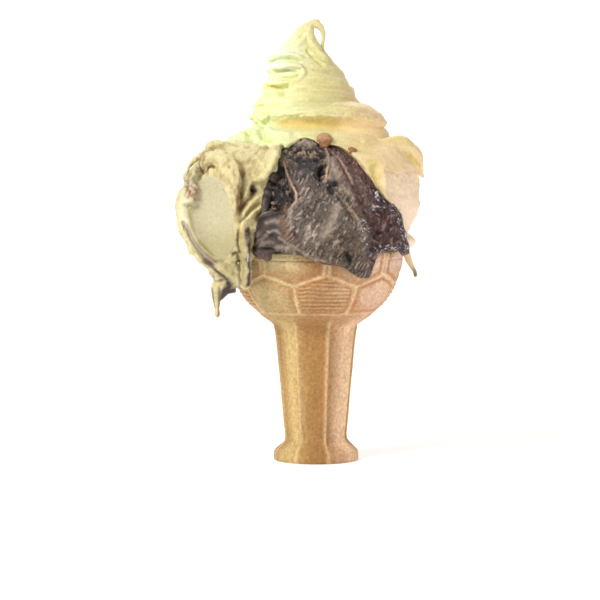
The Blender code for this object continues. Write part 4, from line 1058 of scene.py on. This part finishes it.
# Pistachio: level sections of the spread (height, left, right, front, back) and what is on it
pistachio = {
    "columns": 260, "rows": 150, "squareness": 2.3, "grain": 0.412,
    "levels": ((73.4, -40, -30, -24, -8), (76, -42.4, -27, -27.6, 2), (80, -45.8, -22.5, -31.4, 12),
        (85, -49.4, -18, -34.6, 20), (91, -52, -14, -36.8, 25), (98, -54.6, -12, -36.8, 27),
        (104, -55.6, -12, -36.2, 27.3), (110, -53.4, -12, -34.8, 26), (116, -50, -12, -32.6, 23),
        (121, -46.6, -11.6, -30, 18), (124.4, -43, -11.4, -27.4, 10), (126.4, -39, -14, -23, 0)),
    # the scooped hollow: u, v, half width, half length, lean in degrees, depth
    "scoop": (-41.2, 97.8, 9, 19.2, 13, 3.8),
    # rolls, fold, rim and drips melted on: steps, sides, breadth and stations
    "strands": (
        (60, 22, 1.3, (-27.4, 109, -29.6, 1.8), (-26.2, 114, -29.4, 3), (-23.8, 119, -28.4, 3.4),
         (-20.6, 122.6, -26.6, 3), (-18, 124.8, -25, 2)),
        (130, 28, 1, (-44.8, 115.6, -29.6, 1), (-44.2, 119, -30, 1.8), (-42, 120.8, -30.4, 2.6),
         (-38.4, 120.4, -31, 3.6), (-35.4, 116.8, -32.8, 4.3), (-33.8, 111.2, -35.2, 3.8),
         (-32.9, 105.6, -36.8, 2.6), (-32.5, 99.2, -37.2, 2), (-31.9, 93.6, -37, 1.6),
         (-31.2, 88, -36, 1.3), (-30.8, 82, -34, 1.1)),
        (130, 24, 0.9, (-45.6, 119, -27.6, 1.2), (-48.4, 115, -28.2, 2.1), (-50, 111.2, -28.4, 2.4),
         (-50.8, 107.6, -28.4, 2.7), (-52.6, 103.2, -27, 3), (-52.5, 99.2, -27.2, 2.6),
         (-51.6, 95.6, -27.8, 2.2), (-50.2, 90.4, -28.4, 2.1), (-47.1, 85.2, -29.4, 2.1),
         (-42.8, 80.8, -30.2, 2.1), (-38.8, 77.8, -30, 1.9), (-35.4, 75.4, -28.6, 1.3)),
        (60, 20, 1, (-43.4, 123.2, -20, 1.5), (-41.4, 125, -20.6, 2), (-37.6, 125.6, -21.6, 2.1),
         (-33.8, 124.6, -23.4, 2), (-30.6, 123.2, -25, 1.6)),
        (90, 18, 1, (-54.6, 101, -18, 1.2), (-54, 94.6, -20.4, 1.8), (-51.2, 88, -22.4, 1.9),
         (-46.6, 82, -25, 1.8), (-41.6, 77.2, -26.6, 1.7), (-37.6, 73.6, -26.4, 1.4),
         (-34, 70.4, -25.4, 1.2)),
        (60, 20, 1, (-26, 110.6, -31, 1.6), (-22.4, 113.6, -31.4, 2.4), (-19.4, 118, -31, 2.8),
         (-17.2, 121.6, -29.8, 2.7), (-15.8, 124.4, -28.4, 2), (-15, 125.8, -27.6, 1.2)),
        (40, 14, 1, (-47.6, 121, -24, 0.8), (-50.4, 117.6, -24.6, 1), (-51.8, 114, -25, 1),
         (-51.6, 111, -26, 0.9)),
        (90, 24, 1, (-29.2, 96, -35.4, 1), (-28.8, 92.4, -36.8, 1.5), (-28.4, 86.4, -36.6, 2.2),
         (-28.1, 80, -33.6, 2.6), (-28, 74, -29, 2.8), (-28.2, 70.6, -26.6, 2.4),
         (-28.6, 68.2, -25.2, 1.5)),
        (60, 20, 1, (-34.8, 82, -29.6, 2.8), (-34.2, 76, -26.6, 2.4), (-33.2, 71.4, -24.8, 1.9),
         (-32.3, 68.4, -23.8, 1.2)),
        (60, 20, 1, (-31.6, 82, -30, 1.6), (-31.4, 75, -27, 1.5), (-31, 69, -24.6, 1.1)),
        (110, 20, 1, (-40.4, 77, -25.6, 2.2), (-39.3, 73.4, -24.6, 1.8), (-39.5, 71, -24, 1.8),
         (-40.1, 69.2, -23.6, 2), (-40, 66, -23.2, 1.8), (-39.7, 62.4, -23, 1.35),
         (-39.5, 59.6, -22.9, 1), (-39.4, 57.9, -22.9, 1.1), (-39.4, 56.9, -22.9, 0.8)),
        (40, 16, 1, (-41.5, 70, -23.6, 1.2), (-38.6, 71, -24, 1.6), (-35, 71.9, -24.8, 1.5)),
        (50, 14, 1, (-34.4, 71.4, -24.4, 1.2), (-35.2, 68.6, -24, 1.5), (-36.8, 66.4, -23.6, 1.3),
         (-38.6, 64, -23.2, 0.9)),
        (40, 14, 1, (-31.8, 67.6, -24, 0.8), (-34, 67.8, -24, 1.3), (-37.8, 67.4, -23.6, 1.5)),
        (40, 14, 1, (-36.4, 70.6, -24, 1.2), (-37.4, 68.2, -23.8, 1.5), (-38.6, 66, -23.4, 1.2)),
    ),
}
pistachioLaps = (
    (1.3, 0.7, -21.6, 126, -24, 122.6, -26.4, 120.4, -28, 117.6),
)
pistachioRidges = (
    (1.3, 1.3, -21.8, 111.6, -18.6, 117.2, -16.2, 122, -15, 124.8),
    (-1, 0.8, -24.6, 113.6, -22, 118, -19.6, 122.6),
    (-2.6, 1.1, -25.1, 109.2, -24.5, 107.6),
    (1.2, 0.7, -31, 103, -28.2, 106.2, -26.4, 110.6, -22.6, 112.8),
    (1.3, 0.8, -29.8, 97.6, -26.6, 102, -22.4, 106),
    (1.2, 0.8, -30.6, 92.4, -28, 96.2, -25, 99.6, -21.6, 101.8),
    (-1.3, 0.7, -30, 100.4, -27, 104.4, -24, 108),
    (-1.3, 0.7, -29.6, 95, -26.6, 99.2, -22.8, 102.6),
    (-1.3, 0.8, -30.6, 122.6, -29.6, 117, -29.8, 110, -30.2, 104, -30.4, 98, -30.2, 93),
    (0.7, 0.6, -43, 121.8, -39, 123.4, -34, 121.4, -31.4, 116, -30.9, 109),
    (-0.3, 0.6, -40.4, 120.8, -37.2, 119.4, -35, 114.4, -33.6, 107, -32.8, 100),
    (-0.9, 0.5, -53, 95, -49.8, 87.6, -44.6, 81.2, -38.8, 76.6),
    (0.7, 0.5, -54, 94.6, -51, 87, -46, 80.4, -40.6, 75.8),
    (-1.1, 0.6, -49.4, 118, -50.8, 114.4, -51.4, 110, -52.4, 105.6),
    (1.2, 0.7, -48.2, 115.8, -49.6, 111.6, -47.6, 108.4, -49.6, 105.2, -48.8, 101.6),
    (-0.8, 0.6, -51.6, 108, -49.6, 107),
    (-1.1, 0.5, -31.2, 92, -31.4, 86, -31.2, 80, -30.8, 74),
    (0.6, 0.5, -47, 86.6, -43, 82.6, -39, 80.6, -35, 81.4, -32.4, 82.8),
    (-0.6, 0.5, -45, 82.6, -41.4, 79.8, -37.4, 79),
    (-0.8, 0.6, -45.6, 124.6, -42.4, 124.2, -38.4, 124.4, -33.6, 123),
)


def scoopDepth(x, z):
    # a leaning oval bowl in a sloping plane; outside it the surface leaves fast towards the front
    u, v, halfWide, halfTall, lean, depth = pistachio["scoop"]
    turn = math.radians(lean)
    across = ((x - u) * math.cos(turn) + (z - v) * math.sin(turn)) / halfWide
    along = ((z - v) * math.cos(turn) - (x - u) * math.sin(turn)) / halfTall
    inside = 1 - across ** 2 - along ** 2
    return -29.4 - 0.36 * (x + 49) + np.where(inside > 0, depth, 14) * inside


def makePistachio(material):
    # squared-off ovals between four reaches at each level, with rolls, rim and drips melted on
    zz, angle = np.meshgrid(
        np.linspace(pistachio["levels"][0][0], pistachio["levels"][-1][0], pistachio["rows"]),
        np.linspace(0, 2 * np.pi, pistachio["columns"], endpoint=False), indexing="ij")
    left, right, front, back = (curveThrough(pistachio["levels"], zz, k) for k in (1, 2, 3, 4))

    def squared(wave):
        # a sine or cosine that stays longer near its ends
        return np.sign(wave) * np.abs(wave) ** (2 / pistachio["squareness"])

    x = 0.5 * (left + right) + 0.5 * (right - left) * squared(np.cos(angle))
    y = 0.5 * (front + back) + 0.5 * (back - front) * squared(np.sin(angle))
    body = closedGrid(np.stack([x, np.maximum(y, scoopDepth(x, zz)), zz], -1))
    parts = [body, *strands(pistachio["strands"])]
    spread = meltTogether("pistachioSpread", parts, pistachio["grain"], 3)
    points, normals = readSkin(spread)
    u, v = toPicture(points)
    facing = smoothstep(0, 0.4, -normals[:, 1])
    floor = scoopDepth(points[:, 0], points[:, 2])
    scooped = smoothstep(-1.6, -0.5, floor - points[:, 1] - 0.2) * facing * (floor > -36.5)
    lumps = layeredNoise(points, 12, 2, 71)
    fine = layeredNoise(points, (2.4, 2.4, 3.4), 2, 72)
    scuffed = layeredNoise(points, 1.3, 2, 77)
    ragged = beside(u, v, 2.4, (-47.4, 118.6, -50, 113, -50.4, 107.6, -50.4, 102.4)) * facing
    serrated = beside(u, v, 1.3, (-44.6, 116, -40.6, 116.8, -37.8, 113.6, -36.6, 108.6)) * facing
    ruffle = layeredNoise(points, 1.8, 2, 75) * ragged
    ruffle += 0.7 * layeredNoise(points, 1.5, 2, 76) * serrated
    pits = bell(np.hypot((u + 22) / 9, (v - 113) / 13), 1)
    pits = smoothstep(0.45, 0.9, noise(points, 1.5, 73)) * pits * facing
    sideways = np.stack([points[:, 1] * 0.5, points[:, 2], points[:, 0] * 0.3], -1)
    behind = smoothstep(-32, -22, points[:, 1]) + 0.8 * smoothstep(-16, 0, points[:, 1])
    smear = layeredNoise(sideways, (14, 3.6, 6), 2, 74) * behind
    relief = (1 - scooped) * (0.5 * lumps + 0.34 * fine + 0.6 * smear + 0.26 * scuffed)
    relief += 1.1 * ruffle - 0.7 * pits
    relief += facing * strokeRelief(u, v, pistachioRidges, pistachioLaps)
    relief = relief * (0.2 + 0.8 * smoothstep(70, 78, points[:, 2]))
    points = points + normals * relief[:, None]
    moveSkin(spread, clearOfCup(points))
    wet = insideOutline(u, v, (-35.4, 72.4, -31.4, 67.8, -38.8, 63.4, -37.8, 69))
    wet = np.maximum(
        smoothstep(-0.3, 0.5, wet),
        beside(u, v, 0.9, (-28, 91.6, -27, 86, -26.7, 78, -27, 70.4)))
    shown = smoothstep(-0.4, 0.05, -normals[:, 1]) * smoothstep(-15, -21, points[:, 1])
    colours = pistachioColour(points, u, v, shown, scooped, fine + 0.5 * scuffed)
    paint(spread, colours, 0.48 - 0.3 * wet)
    finishPiece(spread, "pistachio", material)


# red, green, blue, strength, width and path: brown and dark chocolate streaks and drips; painted
# highlights on the left rim's outer lip, on the ridges right of the fold and as a white fleck on the
# finger drip; painted shade in the grooves and dips right of the fold, down the finger drip's left
# crease and near-black in the deep pit
pistachioMarks = (
    (240, 230, 196, 0.7, 1.9, -51, 108, -53.2, 100, -52, 93, -49.6, 88),
    (146, 126, 78, 0.65, 1.6, -30, 90, -29.6, 84, -29.4, 78, -29.4, 72),
    (104, 66, 56, 0.85, 0.45, -40, 124, -43.4, 123.4, -46.2, 120.6, -46.4, 117.4, -45.2, 114.8),
    (120, 82, 66, 0.6, 0.4, -44.6, 121.6, -45.4, 118.6, -44.6, 116),
    (150, 84, 60, 0.85, 0.9, -51.2, 108.6, -50.2, 106.8),
    (134, 78, 56, 0.7, 0.5, -52.4, 109.4, -50.4, 109.6, -48.6, 107.4, -50, 105.6),
    (120, 108, 104, 0.8, 0.7, -52.6, 112, -51.4, 111.4),
    (146, 122, 82, 0.6, 0.6, -49.4, 118, -50.8, 114.4, -51.4, 110, -52.4, 105.6),
    (92, 68, 58, 0.9, 0.45, -53.6, 95.4, -50.4, 88, -45.4, 81.4, -39.8, 76.6),
    (182, 168, 148, 0.75, 0.7, -52.6, 95, -49.2, 87.4, -44.2, 81.2, -39.4, 77.6),
    (112, 88, 72, 0.8, 0.4, -51.6, 94, -48.4, 87.2, -43.6, 81.8, -39.8, 79),
    (76, 52, 44, 0.9, 0.7, -44.6, 79.8, -41.2, 77.2, -38.4, 74.6, -35.4, 72.2),
    (84, 58, 50, 0.8, 0.5, -33.4, 82.4, -31.4, 82.8),
    (104, 70, 44, 0.85, 1, -29.8, 104.2, -28.4, 102),
    (146, 120, 66, 0.8, 2, -27, 100, -23.6, 98.4, -21.4, 97),
    (124, 94, 54, 0.8, 0.8, -29.6, 95, -26.6, 99.2, -22.8, 102.6),
    (166, 148, 100, 0.6, 3, -29, 118, -27.6, 112, -27.4, 105),
    (118, 88, 52, 0.8, 0.8, -30, 100.4, -27, 104.4, -24, 108),
    (130, 100, 58, 0.7, 0.7, -30, 116, -29.8, 110, -30.2, 104, -30.4, 98),
    (226, 216, 158, 0.7, 0.8, -30.6, 92.4, -28, 96.2, -25, 99.6, -21.6, 101.8),
    (226, 216, 158, 0.6, 0.7, -29.8, 97.6, -26.6, 102, -22.4, 106),
    (44, 34, 32, 0.95, 1, -25.2, 109.2, -24.4, 107.7),
    (66, 50, 46, 0.9, 0.5, -28.4, 91.6, -28, 88.4, -27.4, 92.6, -26.6, 90.4),
    (58, 38, 42, 1, 0.9, -27.8, 91.6, -27, 87, -26.6, 80, -26.4, 74, -27, 70.2),
    (226, 222, 224, 0.8, 0.3, -27, 82.4, -26.9, 80.6, -26.9, 79.2),
    (110, 92, 70, 0.75, 0.5, -31.2, 92, -31.4, 86, -31.2, 80, -30.8, 74, -30.6, 69),
    (58, 42, 42, 1, 1.5, -35, 70.6, -35.2, 68.6, -36.8, 66.4, -38, 64.6),
    (58, 42, 42, 1, 1.3, -31.8, 67.6, -34, 67.8, -37, 67.4),
    (84, 62, 58, 0.8, 0.45, -38.6, 68.6, -38.8, 64.6, -38.8, 61, -39.2, 57.4),
    (96, 72, 62, 0.75, 0.45, -41.6, 68.4, -41.2, 65, -40.6, 61),
    (110, 82, 76, 0.7, 0.5, -41, 74.6, -40.4, 71.8, -38, 71.8, -35.6, 72.6),
)


def pistachioColour(points, u, v, facing, scooped, fine):
    # pale nut green, smoother in the scoop, with thin chocolate streaks where it was dragged; painted
    # shade darker in the small dips and low in the scoop, and a painted highlight along the lit fold's
    # ridge
    lit = beside(u, v, 1.8, (-21, 112.6, -18.4, 117.4, -15.6, 123.6))
    colours = layered(
        evenColour(points, 204, 192, 144),
        (156, 136, 82, smoothstep(0.1, -0.9, fine) * (0.2 + 0.3 * facing)),
        (186, 178, 146, scooped * 0.9),
        (158, 147, 102, scooped * smoothstep(97, 82, v) * 0.8),
        (216, 206, 154, lit * facing * 0.7))
    return markWith(colours, u, v, pistachioMarks, 0.35 * fine, facing)


# Stage: pale floor sweeping up into a backdrop, soft lights, the camera of the picture
def makeStage():
    # the backdrop is a quarter circle between floor and wall, drawn out from side to side
    turn = np.linspace(0, math.pi / 2, 24)
    depth = np.concatenate([[-900], 500 + 300 * np.sin(turn), [800]])
    height = np.concatenate([[0], 300 - 300 * np.cos(turn), [1500]])
    sides = np.array([-1600, 1600])
    grid = np.stack([
        np.repeat(sides[None], len(depth), 0), np.repeat(depth[:, None], 2, 1),
        np.repeat(height[:, None], 2, 1)], -1)
    low = np.arange(len(depth) - 1) * 2
    floor = writeMesh("paleFloor", grid.reshape(-1, 3), np.stack([low, low + 1, low + 3, low + 2], -1))
    material = bpy.data.materials.new("paleFloor")
    material.use_nodes = True
    shader = material.node_tree.nodes["Principled BSDF"]
    shader.inputs["Base Color"].default_value = (0.9, 0.9, 0.89, 1)
    shader.inputs["Roughness"].default_value = 0.9
    shader.inputs["Emission Color"].default_value = (1, 1, 1, 1)
    shader.inputs["Emission Strength"].default_value = 0.22
    floor.data.materials.append(material)
    lights = (     # place, size, watts, colour
        ((-420, -420, 520), 260, 4.8, (1, 0.99, 0.96)),
        ((520, -380, 200), 420, 1.2, (1, 0.87, 0.8)),
        ((0, 420, 620), 420, 2, (1, 1, 1)),
    )
    for number, (place, size, power, colour) in enumerate(lights):
        lamp = bpy.data.lights.new(f"softLight{number}", "AREA")
        lamp.shape = "DISK"
        lamp.size = size * mm
        lamp.energy = power
        lamp.color = colour
        holder = bpy.data.objects.new(f"softLight{number}", lamp)
        holder.location = np.array(place) * mm
        aim = np.array([0, 0, 100]) - np.array(place)
        holder.rotation_euler = (
            math.atan2(math.hypot(aim[0], aim[1]), -aim[2]), 0, math.atan2(-aim[0], aim[1]))
        bpy.context.scene.collection.objects.link(holder)
    world = bpy.data.worlds.new("softWhite")
    world.use_nodes = True
    world.node_tree.nodes["Background"].inputs["Color"].default_value = (1, 1, 1, 1)
    world.node_tree.nodes["Background"].inputs["Strength"].default_value = 0.36
    bpy.context.scene.world = world
    bpy.context.scene.view_settings.view_transform = "Standard"
    camera = bpy.data.cameras.new("camera")
    camera.angle = 2 * math.atan(0.5 * view["width"] / view["distance"])
    holder = bpy.data.objects.new("camera", camera)
    back = np.array([0, -viewCos, viewSin]) * view["distance"]
    holder.location = (np.array(view["aim"]) + back) * mm
    holder.rotation_euler = (math.radians(90 - view["elevation"]), 0, 0)
    bpy.context.scene.collection.objects.link(holder)
    bpy.context.scene.camera = holder
    print("stage set")


makeWaferCup(foodMaterial("waferCrust"))
makeChocolate(foodMaterial("chocolateGelato"))
makePistachio(foodMaterial("pistachioGelato"))
creamMaterial = foodMaterial("creamGelato")
makeCreamHeap(creamMaterial)
makeCreamPeak(creamMaterial)
makeStage()
